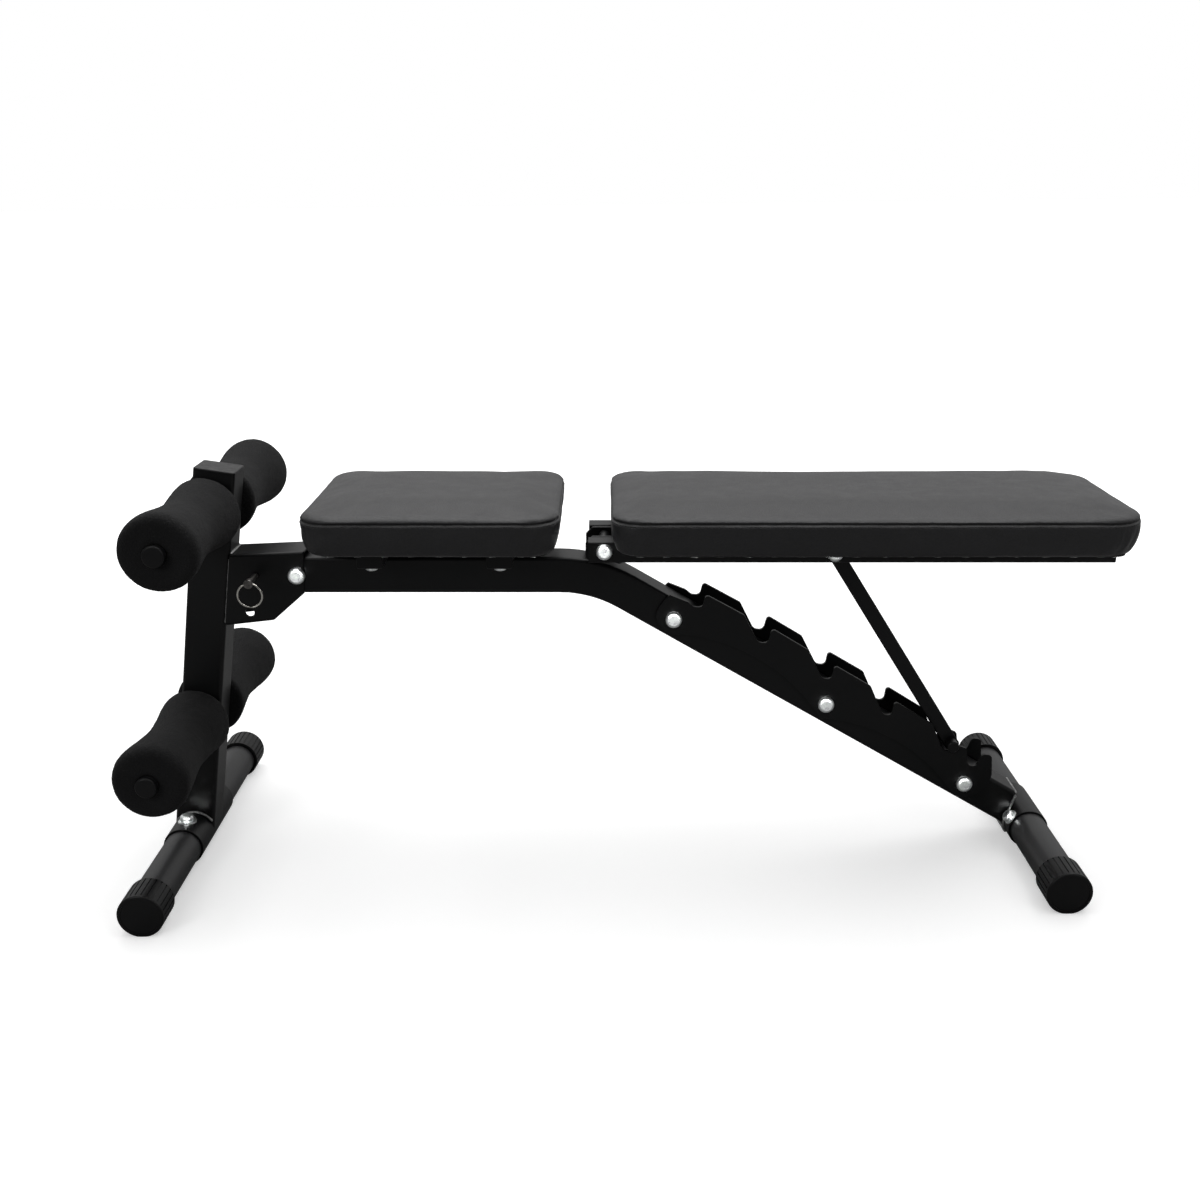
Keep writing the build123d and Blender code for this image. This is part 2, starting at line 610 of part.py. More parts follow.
with BuildPart() as rail_plugs:
    for x_end, sgn in ((rail_x0, 1), (rail_x1, -1)):
        for yc in (-(rail_in + rail_out) / 2, (rail_in + rail_out) / 2):
            o = W(x_end + sgn * 2.5, (rail_z0 + rail_z1) / 2)
            with BuildSketch(Plane(origin=(o[0], yc, o[1]), x_dir=(0, 1, 0), z_dir=(-sgn * ct, 0, sgn * st))):
                RectangleRounded(rail_out - rail_in, rail_z1 - rail_z0, 2.6)
            extrude(amount=2.5)
            with BuildSketch(Plane(origin=(o[0], yc, o[1]), x_dir=(0, 1, 0), z_dir=(-sgn * ct, 0, sgn * st))):
                RectangleRounded(rail_out - rail_in - 3.3, rail_z1 - rail_z0 - 3.3, 1.0)
            extrude(amount=-9.0)
save(rail_plugs.part, "rail_plugs")

for node, xc in (("backrest_strap_front", strap_x[0]), ("backrest_strap_rear", strap_x[1])):
    with BuildPart() as strap:
        with BuildSketch(plan(rail_z1 - 4.0)):
            with Locations((xc, 0)):
                Rectangle(44, 2 * rail_in - 0.2)
            with Locations((xc, -16), (xc, 16)):
                Circle(m8_r + 0.2, mode=Mode.SUBTRACT)
        extrude(amount=4.0)
    save(strap.part, node)

back_pts = [(x, y) for x in strap_x for y in (-16.0, 16.0)]
pad_set("backrest", back_x0, back_x1, back_pts, 38.0, 55.0)

with BuildPart() as backrest_bolts:
    head_z = rail_z1 - 4.05
    with BuildSketch(plan(head_z - 5.4)):
        with Locations(*back_pts):
            Circle(8.5)
    extrude(amount=5.4)
    with BuildSketch(plan(head_z - 0.1)):
        with Locations(*back_pts):
            Circle(m8_r)
    extrude(amount=pad_z0 + 0.2 + board_t - 0.6 - head_z)
save(backrest_bolts.part, "backrest_bolts")

# ================================================================ strut
sd = Vector(strut_rod[0] - strut_top[0], strut_rod[1] - strut_top[1])
strut_len = sd.length
sdir = (sd.X / strut_len, sd.Y / strut_len)
strut_up, strut_down = 9.0, 10.5
top_pt = (strut_top[0] - sdir[0] * strut_up, strut_top[1] - sdir[1] * strut_up)
low_pt = (strut_rod[0] + sdir[0] * strut_down, strut_rod[1] + sdir[1] * strut_down)
sn = (-sdir[1], sdir[0])


def strut_outline(half_w, a, b):
    """Long rectangle along the strut in side view, from a before its pivot to b past its rod."""
    p0 = (strut_top[0] - sdir[0] * a, strut_top[1] - sdir[1] * a)
    p1 = (strut_rod[0] + sdir[0] * b, strut_rod[1] + sdir[1] * b)
    return [
        (p0[0] + sn[0] * half_w, p0[1] + sn[1] * half_w),
        (p1[0] + sn[0] * half_w, p1[1] + sn[1] * half_w),
        (p1[0] - sn[0] * half_w, p1[1] - sn[1] * half_w),
        (p0[0] - sn[0] * half_w, p0[1] - sn[1] * half_w),
    ]


with BuildPart() as strut_tube:
    with BuildSketch(side(strut_dy / 2)):
        with BuildLine():
            o = strut_outline(strut_w / 2, 9.5, 10.5)
            rounded_outline([(*o[0], 8.5), (*o[1], 5.0), (*o[2], 7.0), (*o[3], 8.5)])
        make_face()
    extrude(amount=strut_dy)
    long_edges = strut_tube.edges().filter_by(GeomType.LINE).filter_by(lambda e: e.length > 200)
    fillet(long_edges, 2.2)
    with BuildSketch(side(strut_dy / 2 - strut_wall)):
        with BuildLine():
            Polyline(*strut_outline(strut_w / 2 - strut_wall, 30, 30), close=True)
        make_face()
    extrude(amount=strut_dy - 2 * strut_wall, mode=Mode.SUBTRACT)
    with BuildSketch(side(60)):
        with Locations(strut_top):
            Circle(m10_r + 0.07)
        with Locations(strut_rod):
            Circle(rod_r + 0.05)
    extrude(amount=120, mode=Mode.SUBTRACT)
save(strut_tube.part, "strut_tube")

with BuildPart() as strut_cross_rod:
    with BuildSketch(side(rod_half)):
        with Locations(strut_rod):
            Circle(rod_r)
    extrude(amount=2 * rod_half)
    chamfer(strut_cross_rod.edges().filter_by(GeomType.CIRCLE), 1.2)
save(strut_cross_rod.part, "strut_cross_rod")

with BuildPart() as strut_spacers:
    for y0 in (rail_in - 0.08, -(strut_dy / 2 + 0.08)):
        with BuildSketch(side(y0)):
            with Locations(strut_top):
                Circle(8.5)
                Circle(m10_r + 0.1, mode=Mode.SUBTRACT)
        extrude(amount=rail_in - strut_dy / 2 - 0.16)
save(strut_spacers.part, "strut_spacers")

cross_bolt("strut_pivot_bolt", [strut_top], rail_out + 0.05, rail_out + 14.5, 10.6, 6.0)
lock_nuts("strut_pivot_nut", [strut_top], rail_out + 0.05)

# ================================================================ leg rollers
for node, xz in (("upper_roller_axle", upper_axle), ("lower_roller_axle", lower_axle)):
    with BuildPart() as axle:
        with BuildSketch(side(axle_half)):
            with Locations(xz):
                Circle(axle_r)
                Circle(axle_r - axle_wall, mode=Mode.SUBTRACT)
        extrude(amount=2 * axle_half)
    save(axle.part, node)

for node, xz in (("upper_axle_plugs", upper_axle), ("lower_axle_plugs", lower_axle)):
    with BuildPart() as plugs:
        with BuildSketch(side(-(axle_half + 0.1))):
            with Locations(xz):
                Circle(13.6)
        extrude(amount=6.0)
        fillet(plugs.edges().filter_by(GeomType.CIRCLE).group_by(Axis.Y)[0], 2.4)
        with BuildSketch(side(-(axle_half - 16))):
            with Locations(xz):
                Circle(axle_r - axle_wall - 0.1)
        extrude(amount=16.5)
        mirror(about=Plane.XZ)
    save(plugs.part, node)

for prefix, xz in (("upper", upper_axle), ("lower", lower_axle)):
    for suffix, sgn in (("near", -1), ("far", 1)):
        o = W(*xz)
        with BuildPart() as roller:
            # half section: local x is the radius, local y runs along the axle away from the post
            with BuildSketch(Plane(origin=(o[0], 0, o[1]), x_dir=(1, 0, 0), z_dir=(0, 0, -sgn))):
                with BuildLine():
                    ym = foam_y0 + 0.46 * (foam_y1 - foam_y0)
                    Line((foam_bore_r, foam_y0), (foam_end_r - 9, foam_y0))
                    ThreePointArc((foam_end_r - 9, foam_y0), (foam_end_r - 3.6, foam_y0 + 2.6), (foam_end_r - 1.2, foam_y0 + 8))
                    Spline((foam_end_r - 1.2, foam_y0 + 8), (foam_waist_r, ym), (foam_end_r, foam_y1 - 14),
                           tangents=((-0.25, 1), (0.12, 1)))
                    Spline((foam_end_r, foam_y1 - 14), (foam_end_r - 2.6, foam_y1 - 4.5), (foam_end_r - 10, foam_y1),
                           tangents=((0.12, 1), (-1, 0)))
                    Line((foam_end_r - 10, foam_y1), (foam_bore_r, foam_y1))
                    Line((foam_bore_r, foam_y1), (foam_bore_r, foam_y0))
                make_face()
            revolve(axis=Axis((o[0], 0, o[1]), (0, 1, 0)))
        save(roller.part, f"{prefix}_roller_{suffix}")

# ================================================================ locking pin and its pull ring
with BuildPart() as lock_pin:
    with BuildSketch(side(36.0)):
        with Locations(pin_xz):
            Circle(pin_r)
    extrude(amount=36.0 + pin_reach - pin_head_len + 0.5)
    chamfer(lock_pin.edges().filter_by(GeomType.CIRCLE).group_by(Axis.Y)[-1], 1.0)
    with BuildSketch(side(-(pin_reach - pin_head_len))):
        with Locations(pin_xz):
            Circle(pin_head_r)
    extrude(amount=pin_head_len)
    fillet(lock_pin.edges().filter_by(GeomType.CIRCLE).group_by(Axis.Y)[0], 1.4)
    ph = W(*pin_xz)
    with BuildSketch(Plane(origin=(ph[0] - 12, -(pin_reach - pin_head_len / 2), ph[1]), x_dir=(0, 1, 0), z_dir=(1, 0, 0))):
        Circle(2.75)
    extrude(amount=24, mode=Mode.SUBTRACT)
save(lock_pin.part, "lock_pin")

with BuildPart() as pin_ring:
    ring_c = (ph[0], -(pin_reach - pin_head_len / 2), ph[1] - ring_R)
    with BuildSketch(Plane(origin=ring_c, x_dir=(1, 0, 0), z_dir=(0, -1, 0))):
        with Locations((ring_R, 0)):
            Circle(ring_r)
    # the section is turned into the ring's radial plane before it is swept round
    with BuildLine(Plane(origin=ring_c, x_dir=(1, 0, 0), z_dir=(0, -1, 0))) as ring_path:
        CenterArc((0, 0), ring_R, 0, 360)
    with BuildSketch(Plane(origin=(ring_c[0] + ring_R, ring_c[1], ring_c[2]), x_dir=(1, 0, 0), z_dir=(0, 0, 1))) as ring_section:
        Circle(ring_r)
    sweep(sections=ring_section.sketch, path=ring_path.line)
save(pin_ring.part, "pin_ring")
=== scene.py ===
import bpy, bmesh, math, json
import numpy as np
from mathutils import Vector, Matrix, noise
from mathutils.bvhtree import BVHTree

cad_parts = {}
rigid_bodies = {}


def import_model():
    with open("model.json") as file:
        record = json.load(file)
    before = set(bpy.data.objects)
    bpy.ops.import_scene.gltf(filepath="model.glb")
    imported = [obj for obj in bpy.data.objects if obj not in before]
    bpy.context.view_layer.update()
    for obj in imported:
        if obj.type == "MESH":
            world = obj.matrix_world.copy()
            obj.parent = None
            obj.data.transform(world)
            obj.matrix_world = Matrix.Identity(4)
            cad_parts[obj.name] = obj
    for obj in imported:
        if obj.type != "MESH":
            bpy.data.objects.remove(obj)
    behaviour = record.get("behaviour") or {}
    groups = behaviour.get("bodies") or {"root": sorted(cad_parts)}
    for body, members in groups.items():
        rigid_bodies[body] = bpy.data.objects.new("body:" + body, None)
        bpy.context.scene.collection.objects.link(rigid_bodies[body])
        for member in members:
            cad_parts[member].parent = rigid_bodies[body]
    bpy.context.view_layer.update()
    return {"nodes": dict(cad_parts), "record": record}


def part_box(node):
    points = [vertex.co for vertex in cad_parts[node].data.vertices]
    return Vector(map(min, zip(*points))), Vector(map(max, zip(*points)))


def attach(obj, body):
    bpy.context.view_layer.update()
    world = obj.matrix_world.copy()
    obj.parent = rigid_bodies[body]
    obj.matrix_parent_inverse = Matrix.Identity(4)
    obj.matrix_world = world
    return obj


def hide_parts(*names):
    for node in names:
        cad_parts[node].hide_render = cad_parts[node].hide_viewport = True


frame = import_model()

nodes = frame["nodes"]
scene = bpy.context.scene
FALL = math.radians(0.62)
CT, ST = math.cos(FALL), math.sin(FALL)
FX = -0.0235675 - 0.595          # front foot axis, where the upper frame's own side view starts


def W(x, z, y=0.0):
    """Upper-frame side-view point in mm -> row frame in m."""
    dx, dz = x + 595.0, z - 28.5
    return Vector((FX + (dx * CT + dz * ST) / 1000.0, y / 1000.0, (28.5 - dx * ST + dz * CT) / 1000.0))


def local_h(p):
    """Height of a row-frame point in the upper frame's side view, in mm."""
    dx, dz = (p.x - FX) * 1000.0, p.z * 1000.0 - 28.5
    return 28.5 + dx * ST + dz * CT


def local_x(p):
    dx, dz = (p.x - FX) * 1000.0, p.z * 1000.0 - 28.5
    return -595.0 + dx * CT - dz * ST


# ------------------------------------------------------------------ materials
class Nodes:
    def __init__(self, name):
        self.m = bpy.data.materials.new(name)
        self.m.use_nodes = True
        self.t = self.m.node_tree
        self.t.nodes.clear()
        self.out = self.n("ShaderNodeOutputMaterial")
        self.b = self.n("ShaderNodeBsdfPrincipled")
        self.link(self.b.outputs[0], self.out.inputs[0])
        self.co = self.n("ShaderNodeTexCoord").outputs["Object"]

    def n(self, kind, **kw):
        x = self.t.nodes.new(kind)
        for k, v in kw.items():
            setattr(x, k, v)
        return x

    def link(self, a, b):
        self.t.links.new(a, b)

    def val(self, node, name, v):
        node.inputs[name].default_value = v

    def noise(self, scale, detail=3.0, rough=0.55, vec=None, dist=0.0):
        x = self.n("ShaderNodeTexNoise")
        self.val(x, "Scale", scale); self.val(x, "Detail", detail); self.val(x, "Roughness", rough); self.val(x, "Distortion", dist)
        self.link(vec or self.co, x.inputs["Vector"])
        return x.outputs["Fac"]

    def voronoi(self, scale, feature="F1", vec=None, out="Distance", rnd=1.0):
        x = self.n("ShaderNodeTexVoronoi", feature=feature)
        self.val(x, "Scale", scale); self.val(x, "Randomness", rnd)
        self.link(vec or self.co, x.inputs["Vector"])
        return x.outputs[out]

    def ramp(self, fac, stops, interp="LINEAR"):
        x = self.n("ShaderNodeValToRGB")
        x.color_ramp.interpolation = interp
        e = x.color_ramp.elements
        while len(e) > 1:
            e.remove(e[-1])
        e[0].position, e[0].color = stops[0][0], (*stops[0][1], 1)
        for p, c in stops[1:]:
            k = e.new(p); k.color = (*c, 1)
        self.link(fac, x.inputs[0])
        return x.outputs[0]

    def maprange(self, v, a, b, c, d, clamp=True):
        x = self.n("ShaderNodeMapRange", clamp=clamp)
        for i, q in zip((1, 2, 3, 4), (a, b, c, d)):
            x.inputs[i].default_value = q
        self.link(v, x.inputs[0])
        return x.outputs[0]

    def math(self, op, a, b=None, c=None):
        x = self.n("ShaderNodeMath", operation=op)
        for i, q in enumerate((a, b, c)):
            if q is None:
                continue
            if isinstance(q, (int, float)):
                x.inputs[i].default_value = q
            else:
                self.link(q, x.inputs[i])
        return x.outputs[0]

    def bump(self, height, strength, dist, normal=None):
        x = self.n("ShaderNodeBump")
        self.val(x, "Strength", strength); self.val(x, "Distance", dist)
        self.link(height, x.inputs["Height"])
        if normal is not None:
            self.link(normal, x.inputs["Normal"])
        return x.outputs[0]

    def mix(self, fac, a, b):
        x = self.n("ShaderNodeMix", data_type="RGBA")
        for i, q in ((0, fac), (6, a), (7, b)):
            if isinstance(q, (int, float)):
                x.inputs[i].default_value = q
            elif isinstance(q, tuple):
                x.inputs[i].default_value = (*q, 1)
            else:
                self.link(q, x.inputs[i])
        return x.outputs[2]

    def crevice_shade(self, dist=0.006, lo=0.45, hi=0.95):
        """Painted shade mask from ambient occlusion: 0 deep in crevices, 1 in the open."""
        a = self.n("ShaderNodeAmbientOcclusion", samples=6)
        self.val(a, "Distance", dist)
        return self.maprange(a.outputs["AO"], lo, hi, 0.0, 1.0)

    def edge_wear(self, radius=0.0016):
        """1 on convex edges, 0 on flats."""
        bv = self.n("ShaderNodeBevel", samples=4)
        self.val(bv, "Radius", radius)
        g = self.n("ShaderNodeNewGeometry")
        d = self.n("ShaderNodeVectorMath", operation="DOT_PRODUCT")
        self.link(bv.outputs[0], d.inputs[0]); self.link(g.outputs["Normal"], d.inputs[1])
        return self.maprange(d.outputs["Value"], 0.995, 0.90, 0.0, 1.0)


def powder_coat(name, base, rough=0.40, spec=0.5, peel=0.10):
    k = Nodes(name)
    big = k.noise(9.0, 3.0)
    fine = k.noise(900.0, 2.0, 0.6)
    peel_n = k.voronoi(650.0, "SMOOTH_F1")
    wear = k.edge_wear()
    broken = k.maprange(k.noise(60.0, 4.0, 0.7), 0.45, 0.7, 0.0, 1.0)
    w = k.math("MULTIPLY", wear, broken)
    c = k.mix(k.maprange(big, 0.3, 0.7, 0.0, 1.0), tuple(q * 0.86 for q in base), tuple(q * 1.15 for q in base))
    c = k.mix(k.math("MULTIPLY", w, 0.40), c, (0.055, 0.055, 0.057))
    # painted shade: the coat colour darkens to 0.12 of itself in crevices and along plate edges, where ambient
    # occlusion finds shade
    c = k.mix(k.crevice_shade(), tuple(q * 0.12 for q in base), c)
    k.link(c, k.b.inputs["Base Color"])
    r = k.math("ADD", k.maprange(fine, 0.2, 0.8, rough - 0.05, rough + 0.06), k.math("MULTIPLY", big, 0.04))
    k.link(r, k.b.inputs["Roughness"])
    k.val(k.b, "Specular IOR Level", spec)
    k.val(k.b, "Coat Weight", 0.05); k.val(k.b, "Coat Roughness", 0.20)
    n1 = k.bump(peel_n, peel, 0.0004)
    n2 = k.bump(fine, peel * 0.8, 0.0002, n1)
    k.link(n2, k.b.inputs["Normal"])
    return k.m


def moulded_plastic(name, base, rough=0.48):
    k = Nodes(name)
    grain = k.voronoi(1500.0)
    soft = k.noise(120.0, 3.0)
    c = k.mix(k.maprange(k.noise(25.0), 0.3, 0.7, 0.0, 1.0), tuple(q * 0.85 for q in base), tuple(q * 1.25 for q in base))
    scuff = k.maprange(k.noise(260.0, 5.0, 0.8), 0.62, 0.72, 0.0, 1.0)
    c = k.mix(k.math("MULTIPLY", k.math("MULTIPLY", scuff, k.edge_wear(0.001)), 0.35), c, (0.09, 0.09, 0.09))
    k.link(c, k.b.inputs["Base Color"])
    k.link(k.maprange(soft, 0.25, 0.75, rough - 0.07, rough + 0.08), k.b.inputs["Roughness"])
    k.val(k.b, "Specular IOR Level", 0.22)
    k.link(k.bump(grain, 0.18, 0.0003), k.b.inputs["Normal"])
    return k.m


def zinc_plate(name, base=(0.93, 0.95, 0.96), rough=0.30, tint=(0.62, 0.66, 0.62), spot=0.35):
    k = Nodes(name)
    cloud = k.noise(140.0, 5.0, 0.65)
    fine = k.noise(1800.0, 2.0)
    c = k.mix(k.maprange(cloud, 0.42, 0.68, 0.0, 1.0), base, tint)
    dark = k.maprange(k.voronoi(700.0), 0.0, 0.22, 1.0, 0.0)
    c = k.mix(k.math("MULTIPLY", k.math("MULTIPLY", dark, cloud), spot), c, (0.28, 0.29, 0.28))
    k.link(c, k.b.inputs["Base Color"])
    k.val(k.b, "Metallic", 1.0)
    k.link(k.maprange(cloud, 0.3, 0.7, rough - 0.06, rough + 0.12), k.b.inputs["Roughness"])
    n1 = k.bump(cloud, 0.10, 0.0006)
    k.link(k.bump(fine, 0.08, 0.0002, n1), k.b.inputs["Normal"])
    return k.m


def weld_metal(name):
    k = Nodes(name)
    cloud = k.noise(220.0, 5.0, 0.7)
    c = k.ramp(cloud, [(0.30, (0.10, 0.10, 0.10)), (0.52, (0.30, 0.30, 0.30)), (0.72, (0.60, 0.60, 0.58))])
    k.link(c, k.b.inputs["Base Color"])
    k.val(k.b, "Metallic", 0.85)
    k.link(k.maprange(cloud, 0.3, 0.7, 0.25, 0.5), k.b.inputs["Roughness"])
    k.link(k.bump(k.noise(900.0, 4.0, 0.7), 0.4, 0.0005), k.b.inputs["Normal"])
    return k.m


def vinyl(name, seam_h=512.0):
    """Upholstery vinyl: pebbled grain, soft lighter patches and a fine network of small creases all over."""
    k = Nodes(name)
    warp = k.n("ShaderNodeVectorMath", operation="ADD")
    wn = k.n("ShaderNodeTexNoise"); k.val(wn, "Scale", 90.0); k.val(wn, "Detail", 2.0)
    k.link(k.co, wn.inputs["Vector"])
    sc = k.n("ShaderNodeVectorMath", operation="SCALE"); k.val(sc, "Scale", 0.003)
    k.link(wn.outputs["Color"], sc.inputs[0])
    k.link(k.co, warp.inputs[0]); k.link(sc.outputs[0], warp.inputs[1])
    v = warp.outputs[0]
    pebble = k.voronoi(560.0, "SMOOTH_F1", v)
    crease = k.voronoi(300.0, "DISTANCE_TO_EDGE", v)
    creases = k.maprange(crease, 0.0, 0.10, 0.0, 1.0)
    pores = k.maprange(k.voronoi(1400.0, "F1", v), 0.0, 0.25, 0.0, 1.0)
    big = k.noise(7.0, 3.0)
    tone = k.noise(45.0, 4.0, 0.6)
    base = k.mix(k.maprange(big, 0.3, 0.7, 0.0, 1.0), (0.0128, 0.0128, 0.0138), (0.0172, 0.0172, 0.0184))
    base = k.mix(k.math("MULTIPLY", k.maprange(tone, 0.4, 0.7, 0.0, 1.0), 0.25), base, (0.0255, 0.0255, 0.0275))
    # painted shade: the grain's crease lines, which the bump below sinks, are darkened in the colour too
    base = k.mix(k.math("MULTIPLY", k.math("SUBTRACT", 1.0, creases), 0.45), base, (0.008, 0.008, 0.0085))
    # painted shade: a dark line along the sewn seam under the rolled edge and a fainter one along the stitch row
    # below it, drawn by height in the pad's own side view
    xyz = k.n("ShaderNodeSeparateXYZ"); k.link(k.co, xyz.inputs[0])
    hz = k.math("MULTIPLY", k.math("SUBTRACT", xyz.outputs["Z"], 0.0285), CT)
    hx = k.math("MULTIPLY", k.math("SUBTRACT", xyz.outputs["X"], FX), ST)
    h = k.math("MULTIPLY", k.math("ADD", k.math("ADD", hz, hx), 0.0285), 1000.0)
    wob = k.maprange(k.noise(35.0, 2.0), 0.3, 0.7, -0.35, 0.35)
    off = k.math("ABSOLUTE", k.math("SUBTRACT", k.math("ADD", h, wob), seam_h))
    seam_shade = k.maprange(off, 0.25, 1.35, 1.0, 0.0)
    off2 = k.math("ABSOLUTE", k.math("SUBTRACT", k.math("ADD", h, wob), seam_h - 3.6))
    line2 = k.maprange(off2, 0.15, 0.9, 1.0, 0.0)
    # painted shade: darken the seam groove, then the stitch row
    base = k.mix(k.math("MULTIPLY", seam_shade, 0.92), base, (0.0012, 0.0012, 0.0013))
    base = k.mix(k.math("MULTIPLY", line2, 0.45), base, (0.004, 0.004, 0.0042))
    k.link(base, k.b.inputs["Base Color"])
    rr = k.math("ADD", k.maprange(pebble, 0.0, 0.6, 0.38, 0.48), k.maprange(tone, 0.3, 0.7, -0.03, 0.05))
    k.link(rr, k.b.inputs["Roughness"])
    k.val(k.b, "Specular IOR Level", 0.40)
    k.val(k.b, "Sheen Weight", 0.03); k.val(k.b, "Sheen Roughness", 0.4)
    valley = k.math("SUBTRACT", 0.0, k.math("ADD", k.maprange(off, 0.0, 2.6, 1.0, 0.0), k.math("MULTIPLY", line2, 0.35)))
    ns = k.bump(valley, 0.9, 0.0022)
    n0 = k.bump(k.noise(28.0, 4.0, 0.55), 0.16, 0.004, ns)
    n1 = k.bump(pebble, 0.30, 0.0007, n0)
    n2 = k.bump(creases, 0.22, 0.0004, n1)
    n3 = k.bump(pores, 0.12, 0.0002, n2)
    k.link(n3, k.b.inputs["Normal"])
    return k.m


def thread(name):
    k = Nodes(name)
    w = k.n("ShaderNodeTexWave", wave_type="BANDS", bands_direction="DIAGONAL")
    k.val(w, "Scale", 900.0); k.val(w, "Distortion", 0.6)
    k.link(k.co, w.inputs["Vector"])
    k.link(k.mix(w.outputs["Fac"], (0.012, 0.012, 0.013), (0.035, 0.035, 0.037)), k.b.inputs["Base Color"])
    k.val(k.b, "Roughness", 0.75)
    k.link(k.bump(w.outputs["Fac"], 0.5, 0.0004), k.b.inputs["Normal"])
    return k.m


def foam(name):
    """Closed-cell foam: a pitted, speckled black skin."""
    k = Nodes(name)
    cells = k.voronoi(420.0, "F1")
    small = k.voronoi(900.0, "F1")
    big = k.noise(16.0, 3.0)
    grit = k.noise(700.0, 4.0, 0.75)
    mott = k.noise(150.0, 4.0, 0.7)
    c = k.mix(k.maprange(big, 0.3, 0.7, 0.0, 1.0), (0.0052, 0.0052, 0.0055), (0.0088, 0.0088, 0.0092))
    c = k.mix(k.maprange(grit, 0.57, 0.72, 0.0, 0.85), c, (0.030, 0.030, 0.031))
    # painted shade: the colour darkens where the mottle bump dips, in the pits of the skin
    c = k.mix(k.maprange(mott, 0.35, 0.2, 0.0, 0.8), c, (0.003, 0.003, 0.003))
    k.link(c, k.b.inputs["Base Color"])
    k.link(k.maprange(grit, 0.3, 0.7, 0.80, 0.95), k.b.inputs["Roughness"])
    k.val(k.b, "Specular IOR Level", 0.16)
    k.val(k.b, "Sheen Weight", 0.03); k.val(k.b, "Sheen Roughness", 0.6)
    n1 = k.bump(mott, 0.40, 0.0022)
    n2 = k.bump(cells, 0.55, 0.0010, n1)
    n3 = k.bump(k.math("ADD", small, grit), 0.55, 0.0007, n2)
    k.link(n3, k.b.inputs["Normal"])
    return k.m


def plywood(name):
    k = Nodes(name)
    mp = k.n("ShaderNodeMapping"); mp.inputs["Scale"].default_value = (3.0, 40.0, 500.0)
    k.link(k.co, mp.inputs["Vector"])
    grain = k.noise(5.0, 6.0, 0.6, mp.outputs[0], 0.6)
    c = k.ramp(grain, [(0.3, (0.20, 0.13, 0.07)), (0.5, (0.36, 0.25, 0.15)), (0.7, (0.46, 0.34, 0.21))])
    k.link(c, k.b.inputs["Base Color"])
    k.val(k.b, "Roughness", 0.7)
    k.link(k.bump(grain, 0.3, 0.0005), k.b.inputs["Normal"])
    return k.m


def lining(name):
    """Thin non-woven dust cloth."""
    k = Nodes(name)
    f = k.noise(700.0, 5.0, 0.8)
    d = k.voronoi(420.0, "F1", rnd=0.15)
    c = k.mix(f, (0.010, 0.010, 0.011), (0.032, 0.032, 0.034))
    k.link(c, k.b.inputs["Base Color"])
    k.val(k.b, "Roughness", 0.9)
    n1 = k.bump(d, 0.5, 0.0005)
    k.link(k.bump(f, 0.5, 0.0004, n1), k.b.inputs["Normal"])
    return k.m


M = {
    "frame": powder_coat("powder_coat_black", (0.0058, 0.0059, 0.0062), 0.38, 0.22),
    "tube": powder_coat("powder_coat_foot_tubes", (0.020, 0.020, 0.021), 0.42, 0.42),
    "plastic": moulded_plastic("moulded_black", (0.0046, 0.0046, 0.0049), 0.36),
    "cap": moulded_plastic("moulded_black_caps", (0.0050, 0.0050, 0.0053), 0.36),
    "zinc": zinc_plate("zinc_plate"),
    "pin": zinc_plate("oiled_steel", (0.22, 0.21, 0.20), 0.36, (0.12, 0.115, 0.11), 0.5),
    "nickel": zinc_plate("nickel", (0.74, 0.72, 0.67), 0.20, (0.60, 0.57, 0.52), 0.2),
    "weld": weld_metal("weld_metal"),
    "vinyl": vinyl("vinyl_charcoal"),
    "thread": thread("thread_black"),
    "foam": foam("foam_black"),
    "ply": plywood("plywood"),
    "lining": lining("dust_cloth"),
}
slot_mat = {"frame_black": "frame", "tube_black": "tube", "plastic_black": "plastic", "zinc": "zinc", "pin_steel": "pin",
            "nickel": "nickel", "board": "ply", "vinyl": "vinyl", "foam": "foam"}
node_slot = {s["node"]: s["material_slot"] for s in frame["record"]["subparts"]}


def set_mat(o, m):
    o.data.materials.clear()
    o.data.materials.append(m)


for n, o in nodes.items():
    key = slot_mat[node_slot[n]]
    if n.endswith("foot_caps"):
        key = "cap"
    set_mat(o, M[key])


# ------------------------------------------------------------------ mesh helpers
def new_obj(name, bm, mat, smooth=True):
    me = bpy.data.meshes.new(name)
    bm.normal_update()
    bm.to_mesh(me)
    bm.free()
    o = bpy.data.objects.new(name, me)
    scene.collection.objects.link(o)
    me.materials.append(mat)
    if smooth:
        for p in me.polygons:
            p.use_smooth = True
    return o


def apply_mods(o):
    dg = bpy.context.evaluated_depsgraph_get()
    me = bpy.data.meshes.new_from_object(o.evaluated_get(dg), preserve_all_data_layers=True, depsgraph=dg)
    o.modifiers.clear()
    old = o.data
    o.data = me
    bpy.data.meshes.remove(old)


# ------------------------------------------------------------------ pads
CROWN = 2.6


